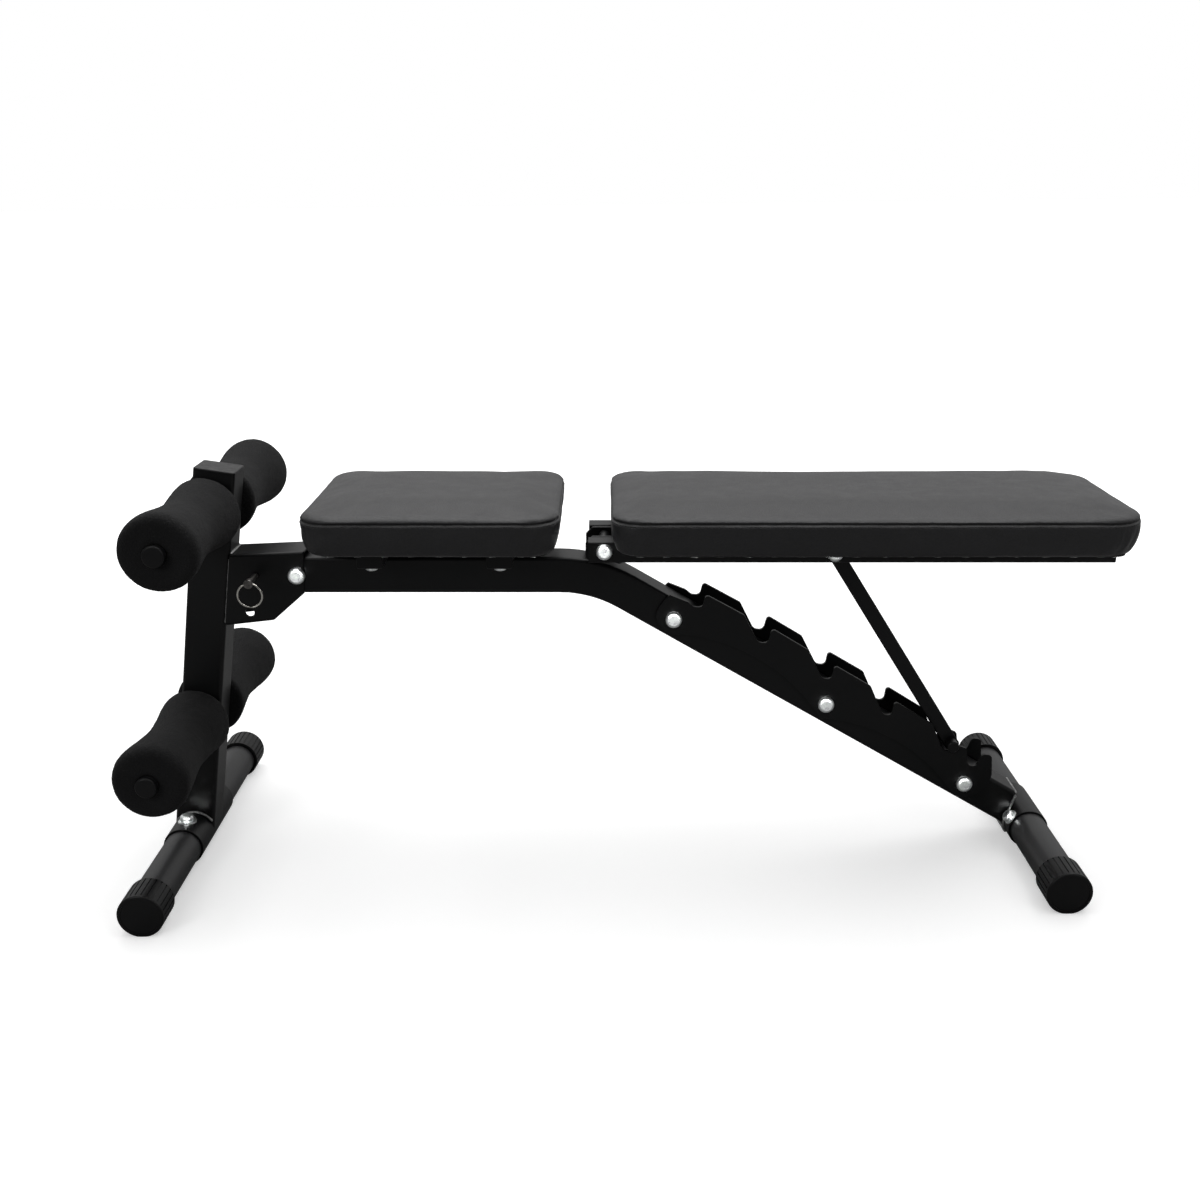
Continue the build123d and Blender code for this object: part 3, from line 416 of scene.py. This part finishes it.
def rounded_rect(x0, x1, hy, r_a, r_b, step=5.0, seg_arc=None):
    """Closed plan outline (mm, local x / y), evenly spaced, with its outward normals."""
    pts = []

    def arc(cx, cy, r, a0, a1):
        n = max(4, int(round(r * math.radians(abs(a1 - a0)) / step)))
        for i in range(n + 1):
            a = math.radians(a0 + (a1 - a0) * i / n)
            pts.append((cx + r * math.cos(a), cy + r * math.sin(a), math.cos(a), math.sin(a)))

    def seg(ax, ay, bx, by, nx, ny):
        L = math.hypot(bx - ax, by - ay)
        n = max(1, int(round(L / step)))
        for i in range(1, n):
            t = i / n
            pts.append((ax + (bx - ax) * t, ay + (by - ay) * t, nx, ny))

    arc(x1 - r_b, -hy + r_b, r_b, -90, 0)
    seg(x1, -hy + r_b, x1, hy - r_b, 1, 0)
    arc(x1 - r_b, hy - r_b, r_b, 0, 90)
    seg(x1 - r_b, hy, x0 + r_a, hy, 0, 1)
    arc(x0 + r_a, hy - r_a, r_a, 90, 180)
    seg(x0, hy - r_a, x0, -hy + r_a, -1, 0)
    arc(x0 + r_a, -hy + r_a, r_a, 180, 270)
    seg(x0 + r_a, -hy, x1 - r_b, -hy, 0, -1)
    return pts


SEAM = 512.0


def make_pad(name, body, node, x0, x1, r_a, r_b, seed, more_a=0.0, more_b=0.0):
    """Foam pad in vinyl: a top panel sewn to a side band, the band pulled in under the board."""
    hy = 140.0
    z0, z1 = 467.5, 521.0            # underside and crown edge
    seam = SEAM                      # the seam under the rolled top edge
    tuck = 7.0                       # how far the band pulls in at the bottom
    # profile: (inset from the outline, height)
    prof = [(tuck + 6.5, z0 + 0.2), (tuck + 3.0, z0 + 0.5), (tuck + 0.4, z0 + 3.0), (tuck - 1.4, z0 + 8.0), (2.6, z0 + 15.0), (1.0, z0 + 23.0),
            (0.2, z0 + 31.0), (-0.4, seam - 4.0), (-0.2, seam), (-0.4, seam + 2.0), (0.6, seam + 4.0), (3.0, seam + 6.0), (7.0, seam + 7.6), (13.0, z1 - 0.6)]
    outline = rounded_rect(x0 - 0.6 - more_a, x1 + 0.6 + more_b, hy - 0.2, r_a, r_b)
    bm = bmesh.new()
    rings = []
    for d, h in prof:
        ring = []
        for (x, y, nx, ny) in outline:
            ring.append(bm.verts.new(W(x - nx * d, h, y - ny * d)))
        rings.append(ring)
    n = len(outline)
    for a, b in zip(rings, rings[1:]):
        for i in range(n):
            j = (i + 1) % n
            bm.faces.new((a[i], a[j], b[j], b[i]))
    bm.faces.new(list(reversed(rings[0])))
    bm.faces.new(rings[-1])
    bm.normal_update()
    o = new_obj(name, bm, M["vinyl"])
    rm = o.modifiers.new("remesh", "REMESH")
    rm.mode = "VOXEL"; rm.voxel_size = 0.0045; rm.use_smooth_shade = True
    apply_mods(o)
    o.name = name
    set_mat(o, M["vinyl"])
    rest = [v.co.copy() for v in o.data.vertices]
    g = o.vertex_groups.new(name="pin")
    for v in o.data.vertices:
        h = local_h(v.co)
        if h < z0 + 3.5:
            g.add([v.index], 1.0, "REPLACE")
        elif h < z0 + 12:
            g.add([v.index], 0.25, "REPLACE")
        elif abs(h - seam) < 2.6:
            p_in = abs(v.co.y * 1000) > hy - 12 or local_x(v.co) < x0 + 12 or local_x(v.co) > x1 - 12
            if p_in:
                g.add([v.index], 0.55, "REPLACE")
    cm = o.modifiers.new("cloth", "CLOTH")
    cs = cm.settings
    cs.quality = 5
    cs.mass = 0.35
    cs.tension_stiffness = 60; cs.compression_stiffness = 60; cs.shear_stiffness = 40; cs.bending_stiffness = 12
    cs.use_pressure = True
    cs.uniform_pressure_force = 4.0
    cs.effector_weights.gravity = 0.0
    cs.vertex_group_mass = "pin"
    cs.pin_stiffness = 1.0
    cm.collision_settings.use_collision = False
    cm.collision_settings.use_self_collision = False
    cm.point_cache.frame_start = 1
    cm.point_cache.frame_end = 20
    for f in range(1, 21):
        scene.frame_set(f)
    apply_mods(o)
    scene.frame_set(1)
    cap = 0.0075
    me = o.data
    nv = len(me.vertices)
    base = np.array([tuple(p) for p in rest])
    now = np.empty(nv * 3); me.vertices.foreach_get("co", now); now = now.reshape(-1, 3)
    d = now - base
    L = np.linalg.norm(d, axis=1)
    d *= np.minimum(1.0, cap / np.maximum(L, 1e-9))[:, None]
    ed = np.empty(len(me.edges) * 2, dtype=np.int64); me.edges.foreach_get("vertices", ed); ed = ed.reshape(-1, 2)
    deg = np.bincount(ed.ravel(), minlength=nv)[:, None]
    sharp = d.copy()
    for _ in range(26):
        acc = np.zeros_like(d)
        np.add.at(acc, ed[:, 0], d[ed[:, 1]]); np.add.at(acc, ed[:, 1], d[ed[:, 0]])
        d = 0.4 * d + 0.6 * acc / np.maximum(deg, 1)
    # keep a little of the cloth's own creasing on top of the smooth swell
    d = d * 0.88 + sharp * 0.12
    pos = base + d
    # a low crown over the middle of the top panel
    dx = (pos[:, 0] - FX) * 1000; dz = pos[:, 2] * 1000 - 28.5
    hh = 28.5 + dx * ST + dz * CT; lx = -595 + dx * CT - dz * ST; ly = pos[:, 1] * 1000
    u = (lx - (x0 + x1) / 2) / ((x1 - x0) / 2); w = ly / hy
    top_w = np.clip((hh - seam - 3) / 6, 0, 1)
    crown = CROWN * np.clip(1 - np.abs(u) ** 6, 0, 1) * np.clip(1 - np.abs(w) ** 3, 0, 1) * top_w / 1000
    pos[:, 0] += crown * ST; pos[:, 2] += crown * CT
    me.vertices.foreach_set("co", pos.ravel())
    me.update()
    sb = o.modifiers.new("sub", "SUBSURF"); sb.levels = 1; sb.render_levels = 1
    apply_mods(o)
    me = o.data
    centre = Vector((0, 0, 0))
    for v in me.vertices:
        p = v.co
        h, lx, ly = local_h(p), local_x(p), p.y * 1000
        # nearest point of a rounded rectangle well inside: gives the outward direction in plan
        ix = max(x0 + 45, min(x1 - 45, lx)); iy = max(-hy + 45, min(hy - 45, ly))
        dx, dy = lx - ix, ly - iy
        L = math.hypot(dx, dy)
        on_side = L > 30
        # the seam pulls a narrow valley round the pad
        if on_side:
            nx, ny = dx / L, dy / L
            g = math.exp(-((h - seam) / 1.5) ** 2) * 1.25
            # soft drag folds on the band, strongest near the corners and under the seam
            corner = max(0.0, min(1.0, (abs(dx) * abs(dy)) / (22.0 * 22.0)))
            band = max(0.0, min(1.0, (seam - 3 - h) / 10.0)) * max(0.0, min(1.0, (h - z0 - 1) / 8.0))
            s_along = lx * 0.045 + ly * 0.05
            fold = noise.noise(Vector((s_along, h * 0.035 + seed, seed * 3.1))) * (0.5 + 1.6 * corner) * band
            fold += noise.noise(Vector((s_along * 3.1, h * 0.05 + seed * 2, 7.0))) * (0.12 + 0.7 * corner) * band
            q = -g + fold * 1.1
            # puckers in the rolled edge just above the seam
            ring = math.exp(-((h - seam - 3.5) / 2.4) ** 2)
            q += ring * noise.noise(Vector((lx * 0.22, ly * 0.22, seed))) * 0.35
            w = W(0, 0) - W(0, 0)
            step = Vector((nx * q / 1000 * CT, ny * q / 1000, -nx * q / 1000 * ST))
            v.co = p + step
        elif h > z1 - 5:
            u = noise.noise(Vector((lx * 0.012, ly * 0.016, seed))) * 0.45 + noise.noise(Vector((lx * 0.05, ly * 0.05, seed + 4))) * 0.12
            v.co = p + Vector((ST * u / 1000, 0, CT * u / 1000))
    # keep the underside flat and inside the box
    top = 0.0
    for v in me.vertices:
        h = local_h(v.co)
        if h < z0:
            v.co += Vector((ST, 0, CT)) * ((z0 - h) / 1000)
    for p in me.polygons:
        p.use_smooth = True
    me.update()
    set_mat(o, M["vinyl"])
    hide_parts(node)
    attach(o, body)

    # stitches: short threads laid just under the seam, on the finished surface
    bvh = BVHTree.FromPolygons([v.co.copy() for v in me.vertices], [tuple(p.vertices) for p in me.polygons])
    path = rounded_rect(x0, x1, hy, r_a, r_b, step=1.0)

    def surf(i, h, lift):
        x, y, nx, ny = path[i % len(path)]
        start = W(x + nx * 20, h, y + ny * 20)
        d = (W(x - nx * 20, h, y - ny * 20) - start).normalized()
        hit = bvh.ray_cast(start, d, 0.06)
        if hit[0] is None:
            return None
        return hit[0] - d * lift, hit[1]

    bm = bmesh.new()
    i, count = 0, len(path)
    while i < count - 3:
        a = surf(i, seam - 3.6, 0.00012)
        b = surf(i + 3, seam - 3.6, 0.00012)
        i += 4
        if not a or not b:
            continue
        p, q, nn = a[0], b[0], (a[1] + b[1]).normalized()
        t = (q - p)
        L = t.length
        if L < 1e-5 or L > 0.006:
            continue
        t.normalize()
        s = nn.cross(t).normalized()
        rings = []
        for u, rad in ((0.0, 0.35), (0.22, 0.85), (0.5, 1.0), (0.78, 0.85), (1.0, 0.35)):
            c = p.lerp(q, u) - nn * (0.00032 * (1 - math.sin(math.pi * u)))
            rings.append([bm.verts.new(c + (s * math.cos(k * math.pi / 3) * 0.42 + nn * math.sin(k * math.pi / 3) * 0.36) * 0.001 * rad) for k in range(6)])
        for ra, rb in zip(rings, rings[1:]):
            for k in range(6):
                bm.faces.new((ra[k], ra[(k + 1) % 6], rb[(k + 1) % 6], rb[k]))
        bm.faces.new(list(reversed(rings[0]))); bm.faces.new(rings[-1])
    st = new_obj(name + "_stitches", bm, M["thread"])
    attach(st, body)

    # dust cloth stapled over the board, with a folded hem and staples
    bm = bmesh.new()
    board_lo, board_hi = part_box(node.replace("_pad", "_board"))
    inset = 14.0
    hem = rounded_rect(x0 + inset, x1 - inset, hy - inset, 20, 20, step=6.0)
    z_u = z0 + 0.02
    grid_rings = []
    for d, dz in ((0.0, -0.02), (0.5, -0.45), (6.0, -0.50), (7.0, -0.22), (12.0, -0.20)):
        ring = []
        for k, (x, y, nx, ny) in enumerate(hem):
            wob = 0.5 * noise.noise(Vector((x * 0.05, y * 0.05, seed + 9))) if d < 2 else 0.0
            ring.append(bm.verts.new(W(x - nx * (d + wob), z_u + dz, y - ny * (d + wob))))
        grid_rings.append(ring)
    m = len(hem)
    for a, b in zip(grid_rings, grid_rings[1:]):
        for k in range(m):
            j = (k + 1) % m
            bm.faces.new((a[k], b[k], b[j], a[j]))
    bm.faces.new(grid_rings[-1])
    dc = new_obj(name + "_dust_cloth", bm, M["lining"], smooth=False)
    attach(dc, body)
    bm = bmesh.new()
    sp = rounded_rect(x0 + inset + 3.5, x1 - inset - 3.5, hy - inset - 3.5, 17, 17, step=1.0)
    k = 0
    while k < len(sp):
        x, y, nx, ny = sp[k]
        ang = 0.25 * noise.noise(Vector((x, y, 3.3)))
        tx, ty = -ny * math.cos(ang) + nx * math.sin(ang), nx * math.cos(ang) + ny * math.sin(ang)
        rings = []
        for u, dz in ((-5.2, 0.45), (-5.0, -0.25), (-4.2, -0.55), (4.2, -0.55), (5.0, -0.25), (5.2, 0.45)):
            c = W(x + tx * u, z_u - 0.45 + dz, y + ty * u)
            rings.append([bm.verts.new(c + Vector((nx * a * 0.0005, ny * a * 0.0005, b * 0.0003))) for a, b in ((1, 1), (-1, 1), (-1, -1), (1, -1))])
        for ra, rb in zip(rings, rings[1:]):
            for q in range(4):
                bm.faces.new((ra[q], ra[(q + 1) % 4], rb[(q + 1) % 4], rb[q]))
        bm.faces.new(list(reversed(rings[0]))); bm.faces.new(rings[-1])
        k += 34
    stp = new_obj(name + "_staples", bm, M["zinc"], smooth=False)
    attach(stp, body)
    return o


seat_pad = make_pad("seat_upholstery", "frame", "seat_pad", -384.0, -63.0, 40.0, 40.0, 2.0, more_a=5.0)
back_pad = make_pad("backrest_upholstery", "backrest", "backrest_pad", 5.0, 667.0, 38.0, 55.0, 11.0, more_a=1.5, more_b=5.5)


# ------------------------------------------------------------------ foam rollers
def make_roller(name, body, node, xz, sgn, seed):
    """Foam sleeve turned from a closed profile, pinched at the waist, with pits and a slightly ragged cut end."""
    prof = []
    y0, y1 = 30.2, 227.8
    end_r, waist = 48.8, 40.0
    ym = y0 + 0.46 * (y1 - y0)

    def bez(a, b, c, d, n, skip=True):
        for i in range(1 if skip else 0, n + 1):
            t = i / n
            u = 1 - t
            prof.append((u ** 3 * a[0] + 3 * u * u * t * b[0] + 3 * u * t * t * c[0] + t ** 3 * d[0],
                         u ** 3 * a[1] + 3 * u * u * t * b[1] + 3 * u * t * t * c[1] + t ** 3 * d[1]))
    prof.append((12.7, y0 + 0.5))
    prof.append((13.6, y0))
    for i in range(1, 10):
        prof.append((13.6 + (end_r - 10 - 13.6) * i / 9, y0))
    bez((end_r - 10, y0), (end_r - 4.5, y0), (end_r - 0.8, y0 + 3.2), (end_r - 1.2, y0 + 9), 6)
    bez((end_r - 1.2, y0 + 9), (end_r - 3.8, y0 + 34), (waist, ym - 26), (waist, ym), 22)
    bez((waist, ym), (waist, ym + 30), (end_r - 2.2, y1 - 48), (end_r - 0.2, y1 - 17), 24)
    bez((end_r - 0.2, y1 - 17), (end_r + 0.4, y1 - 7.5), (end_r - 3.0, y1 - 0.2), (end_r - 11.5, y1), 9)
    last = prof[-1]
    for i in range(1, 9):
        t = i / 9
        prof.append((last[0] + (14.2 - last[0]) * t, y1 - 0.7 * math.sin(math.pi * min(1, t * 1.2)) * 0.8))
    prof.append((13.7, y1 - 0.3))
    prof.append((12.75, y1 - 1.4))
    # bore wall back to the start
    for i in range(1, 6):
        prof.append((12.7, y1 - 1.4 + (y0 + 0.5 - y1 + 1.4) * i / 6))
    seg = 176
    bm = bmesh.new()
    c0 = W(xz[0], xz[1])
    rings = []
    for (r, y) in prof:
        ring = []
        for k in range(seg):
            a = 2 * math.pi * k / seg
            d = 0.0
            if r > 13.5:
                q = Vector((math.cos(a) * r, y, math.sin(a) * r))
                d = noise.noise(q * 0.035 + Vector((seed, 0, 0))) * 0.55 + noise.noise(q * 0.11 + Vector((0, seed, 0))) * 0.32
                d += noise.noise(q * 0.42 + Vector((0, 0, seed))) * 0.22
            rr = r + (d if 13.6 < r else 0)
            ring.append(bm.verts.new(Vector((c0.x + math.cos(a) * rr / 1000, sgn * y / 1000, c0.z + math.sin(a) * rr / 1000))))
        rings.append(ring)
    rings.append(rings[0])
    for a, b in zip(rings, rings[1:]):
        for k in range(seg):
            j = (k + 1) % seg
            if sgn > 0:
                bm.faces.new((a[k], b[k], b[j], a[j]))
            else:
                bm.faces.new((a[k], a[j], b[j], b[k]))
    bmesh.ops.recalc_face_normals(bm, faces=bm.faces)
    o = new_obj(name, bm, M["foam"])
    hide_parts(node)
    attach(o, body)
    return o


UP, LOW = (-530.5, 500.0), (-573.0, 202.0)
make_roller("upper_foam_near", "roller_upper_near", "upper_roller_near", UP, -1, 1.3)
make_roller("upper_foam_far", "roller_upper_far", "upper_roller_far", UP, 1, 5.1)
make_roller("lower_foam_near", "roller_lower_near", "lower_roller_near", LOW, -1, 9.7)
make_roller("lower_foam_far", "roller_lower_far", "lower_roller_far", LOW, 1, 14.9)


# ------------------------------------------------------------------ weld beads
def bead(bm, pts, r=1.9, pitch=2.6, seed=0.0):
    """Rippled bead along a polyline of row-frame points."""
    dense = []
    for a, b in zip(pts, pts[1:]):
        n = max(2, int((b - a).length / 0.0006))
        for i in range(n):
            dense.append(a.lerp(b, i / n))
    dense.append(pts[-1])
    rings = []
    s = 0.0
    for i, p in enumerate(dense):
        if i:
            s += (p - dense[i - 1]).length * 1000
        t = (dense[min(i + 1, len(dense) - 1)] - dense[max(i - 1, 0)]).normalized()
        u = t.cross(Vector((0.31, 0.55, 0.77))).normalized()
        v = t.cross(u)
        ph = (s / pitch) % 1.0
        rip = 1.0 + 0.20 * (1 - ph) * math.sin(math.pi * min(1.0, ph * 2.2)) - 0.08 * math.exp(-(ph / 0.12) ** 2)
        wob = 1.0 + 0.16 * noise.noise(Vector((s * 0.12, seed, 0)))
        end = min(1.0, 0.35 + min(s, (len(dense) - 1 - i) * 0.6) / 3.0)
        c = p + (u * noise.noise(Vector((s * 0.1, seed, 3))) + v * noise.noise(Vector((s * 0.1, seed, 8)))) * 0.0003
        rings.append([bm.verts.new(c + (u * math.cos(k * math.pi / 5) + v * math.sin(k * math.pi / 5)) * r / 1000 * rip * wob * end) for k in range(10)])
    for a, b in zip(rings, rings[1:]):
        for k in range(10):
            bm.faces.new((a[k], a[(k + 1) % 10], b[(k + 1) % 10], b[k]))
    bm.faces.new(list(reversed(rings[0]))); bm.faces.new(rings[-1])


def arc_pts(c, r, a0, a1, y, level=True, n=24):
    out = []
    for i in range(n + 1):
        a = math.radians(a0 + (a1 - a0) * i / n)
        out.append(Vector((c[0] + r * math.cos(a), y, c[1] + r * math.sin(a))))
    return out


FF = (FX, 0.0285)
RF = (FX + 1.190, 0.0285)
tanl = math.tan(math.radians(8.5))
pf = lambda z: -595.0 + (z - 28.5) * tanl + 27.5 / math.cos(math.radians(8.5))
bm = bmesh.new()
# bracket to post, both sides and across the top
for sy in (-1, 1):
    bead(bm, [W(pf(z) + 0.4, z, sy * 25.6) for z in (343, 360, 380, 400, 420, 436)], 1.9, seed=sy)
bead(bm, [W(pf(440.5) + 0.8, 441.0, y) for y in (-23, 0, 23)], 2.1, seed=4)
# post to front sleeve: the saddle line round the post
for sy in (-1, 1):
    pts = []
    for i in range(15):
        x = -25.0 + 50.0 * i / 14
        pts.append(Vector((FF[0] + x / 1000 + 0.001 * 2.5, sy * 0.0253, FF[1] + math.sqrt(max(0.0, 28.6 ** 2 - x * x)) / 1000)))
    bead(bm, pts, 2.0, seed=6 + sy)
new = new_obj("welds_front", bm, M["weld"])
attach(new, "frame")
bm = bmesh.new()
# beam to rear sleeve: up the slanted end on both sides, across the top wall and along the sleeve underneath
rel = lambda x, z, y: Vector((RF[0] + x / 1000, y / 1000, RF[1] + z / 1000))
for sy in (-1, 1):
    low = [rel(28.4 * math.cos(a), 28.4 * math.sin(a), sy * 25.2) for a in [math.radians(212 - (212 - 173) * i / 8) for i in range(9)]]
    bead(bm, low + [rel(-27.0, 6.5, sy * 25.2), rel(-20.8, 26.0, sy * 25.2), rel(-15.2, 43.5, sy * 25.2)], 2.1, seed=12 + sy)
bead(bm, [rel(-14.6, 45.6, y) for y in (-24, 0, 24)], 2.2, seed=20)
bead(bm, [rel(28.6 * math.cos(math.radians(213)), 28.6 * math.sin(math.radians(213)), y) for y in (-24, 0, 24)], 2.0, seed=23)
new = new_obj("welds_rear", bm, M["weld"])
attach(new, "frame")
bm = bmesh.new()
# painted welds: hinge ears on the beam, seat crossbars on the beam
for sy in (-1, 1):
    bead(bm, [W(x, z, sy * 26.2) for x, z in ((-30, 436.6), (-14, 436.0), (-4, 434.7), (4, 433.0), (16, 429.2))], 1.5, seed=30 + sy)
    for xc in (-310.0, -142.0):
        for e in (-17.0, 17.0):
            bead(bm, [W(xc + e, 436.7, sy * y) for y in (2, 12, 23)], 1.4, seed=40 + sy + e)
new = new_obj("welds_painted", bm, M["frame"])
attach(new, "frame")
bm = bmesh.new()
for xc in (105.0, 560.0):
    for e in (-22.0, 22.0):
        for sy in (-1, 1):
            bead(bm, [W(xc + e * q, 462.3, sy * 29.6) for q in (1.0, 0.6, 0.2)], 1.0, seed=60 + e + sy)
new = new_obj("welds_backrest", bm, M["frame"])
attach(new, "backrest")

# ------------------------------------------------------------------ floor, light, camera
BACK = 0.62
bm = bmesh.new()
bmesh.ops.create_grid(bm, x_segments=4, y_segments=4, size=40.0)
floor = new_obj("studio_floor", bm, M["frame"], smooth=False)
k = Nodes("floor_paper")
fib = k.noise(60.0, 3.0)
paper = k.mix(fib, (0.78, 0.78, 0.78), (0.80, 0.80, 0.80))
eye = k.n("ShaderNodeLightPath")
# the sheet gives little light back on to the black frame
k.link(k.mix(eye.outputs["Is Camera Ray"], (0.26, 0.26, 0.26), paper), k.b.inputs["Base Color"])
k.val(k.b, "Roughness", 0.95)
k.val(k.b, "Specular IOR Level", 0.05)
# seen by the camera, the paper rises to pure white away from the object, so it has no horizon
ln = k.n("ShaderNodeVectorMath", operation="LENGTH")
k.link(k.co, ln.inputs[0])
lp = k.n("ShaderNodeLightPath")
glow = k.math("MULTIPLY", k.maprange(ln.outputs["Value"], 0.7, 2.6, 0.44, 1.0), lp.outputs["Is Camera Ray"])
em = k.n("ShaderNodeEmission"); k.link(glow, em.inputs["Strength"])
add = k.n("ShaderNodeAddShader")
k.link(k.b.outputs[0], add.inputs[0]); k.link(em.outputs[0], add.inputs[1])
k.link(add.outputs[0], k.out.inputs[0])
set_mat(floor, k.m)
floor.location.z = -0.0002

world = bpy.data.worlds.new("studio") if scene.world is None else scene.world
scene.world = world
world.use_nodes = True
wt = world.node_tree
wt.nodes.clear()
wo = wt.nodes.new("ShaderNodeOutputWorld")
bg = wt.nodes.new("ShaderNodeBackground")
bg.inputs[0].default_value = (1, 1, 1, 1)
tc = wt.nodes.new("ShaderNodeTexCoord")
sx = wt.nodes.new("ShaderNodeSeparateXYZ")
wt.links.new(tc.outputs["Generated"], sx.inputs[0])


def wmap(v, a, b, c, d):
    x = wt.nodes.new("ShaderNodeMapRange")
    x.interpolation_type = "SMOOTHSTEP"
    for i, q in zip((1, 2, 3, 4), (a, b, c, d)):
        x.inputs[i].default_value = q
    wt.links.new(v, x.inputs[0])
    return x.outputs[0]


def wmath(op, a, b):
    x = wt.nodes.new("ShaderNodeMath"); x.operation = op
    for i, q in enumerate((a, b)):
        if isinstance(q, (int, float)):
            x.inputs[i].default_value = q
        else:
            wt.links.new(q, x.inputs[i])
    return x.outputs[0]


# a bright sweep behind and above, a darker room on the camera's side
level_w = wmath("ADD", wmap(sx.outputs["Y"], -0.35, 0.75, 0.06, BACK), wmap(sx.outputs["Z"], 0.2, 1.0, 0.0, 0.35))
wl = wt.nodes.new("ShaderNodeLightPath")
mixv = wmath("ADD", wmath("MULTIPLY", level_w, wmath("SUBTRACT", 1.0, wl.outputs["Is Camera Ray"])), wmath("MULTIPLY", wl.outputs["Is Camera Ray"], 1.0))
wt.links.new(mixv, bg.inputs["Strength"])
wt.links.new(bg.outputs[0], wo.inputs[0])


def area(name, loc, target, size, power, size_y=None):
    l = bpy.data.lights.new(name, "AREA")
    l.shape = "RECTANGLE"
    l.size = size
    l.size_y = size_y or size
    l.energy = power
    o = bpy.data.objects.new(name, l)
    o.location = loc
    d = Vector(target) - Vector(loc)
    o.rotation_euler = d.to_track_quat("-Z", "Y").to_euler()
    scene.collection.objects.link(o)
    return o


area("key_overhead", (0.1, 0.5, 2.6), (0, 0, 0.3), 3.2, 50, 2.2)
area("front_left", (-1.9, -2.3, 1.7), (-0.2, 0, 0.3), 1.1, 16, 1.4)
area("front_right", (2.1, -2.0, 1.5), (0.2, 0, 0.3), 0.9, 8, 1.4)

# a soft card that only the plated fasteners answer to, so they stay bright against the black frame
card = area("fastener_card", (0.0, -2.2, 1.5), (0, 0, 0.3), 2.4, 380, 1.2)
plated = bpy.data.collections.new("plated_parts")
for o in bpy.data.objects:
    if o.type == "MESH" and any(sl.material is M["zinc"] for sl in o.material_slots):
        plated.objects.link(o)
card.light_linking.receiver_collection = plated

cam = bpy.data.cameras.new("camera")
co = bpy.data.objects.new("camera", cam)
scene.collection.objects.link(co)
cam.sensor_width = 36.0
cam.sensor_fit = "HORIZONTAL"
cam.lens = 38.1
cam.shift_x = -5.0 / 1200.0
cam.clip_start = 0.05
right = Vector((CT, 0, -ST))
fwd = Vector((-0.00343, 0.9483, -0.31728)).normalized()
up = right.cross(fwd).normalized()
right = fwd.cross(up).normalized()
R = Matrix((right, up, -fwd)).transposed()
co.matrix_world = Matrix.Translation(Vector((0.00462 - 0.0235675, -1.651, 0.91456))) @ R.to_4x4()
scene.camera = co
scene.view_settings.view_transform = "Standard"
scene.view_settings.look = "None"
scene.view_settings.exposure = 0.0
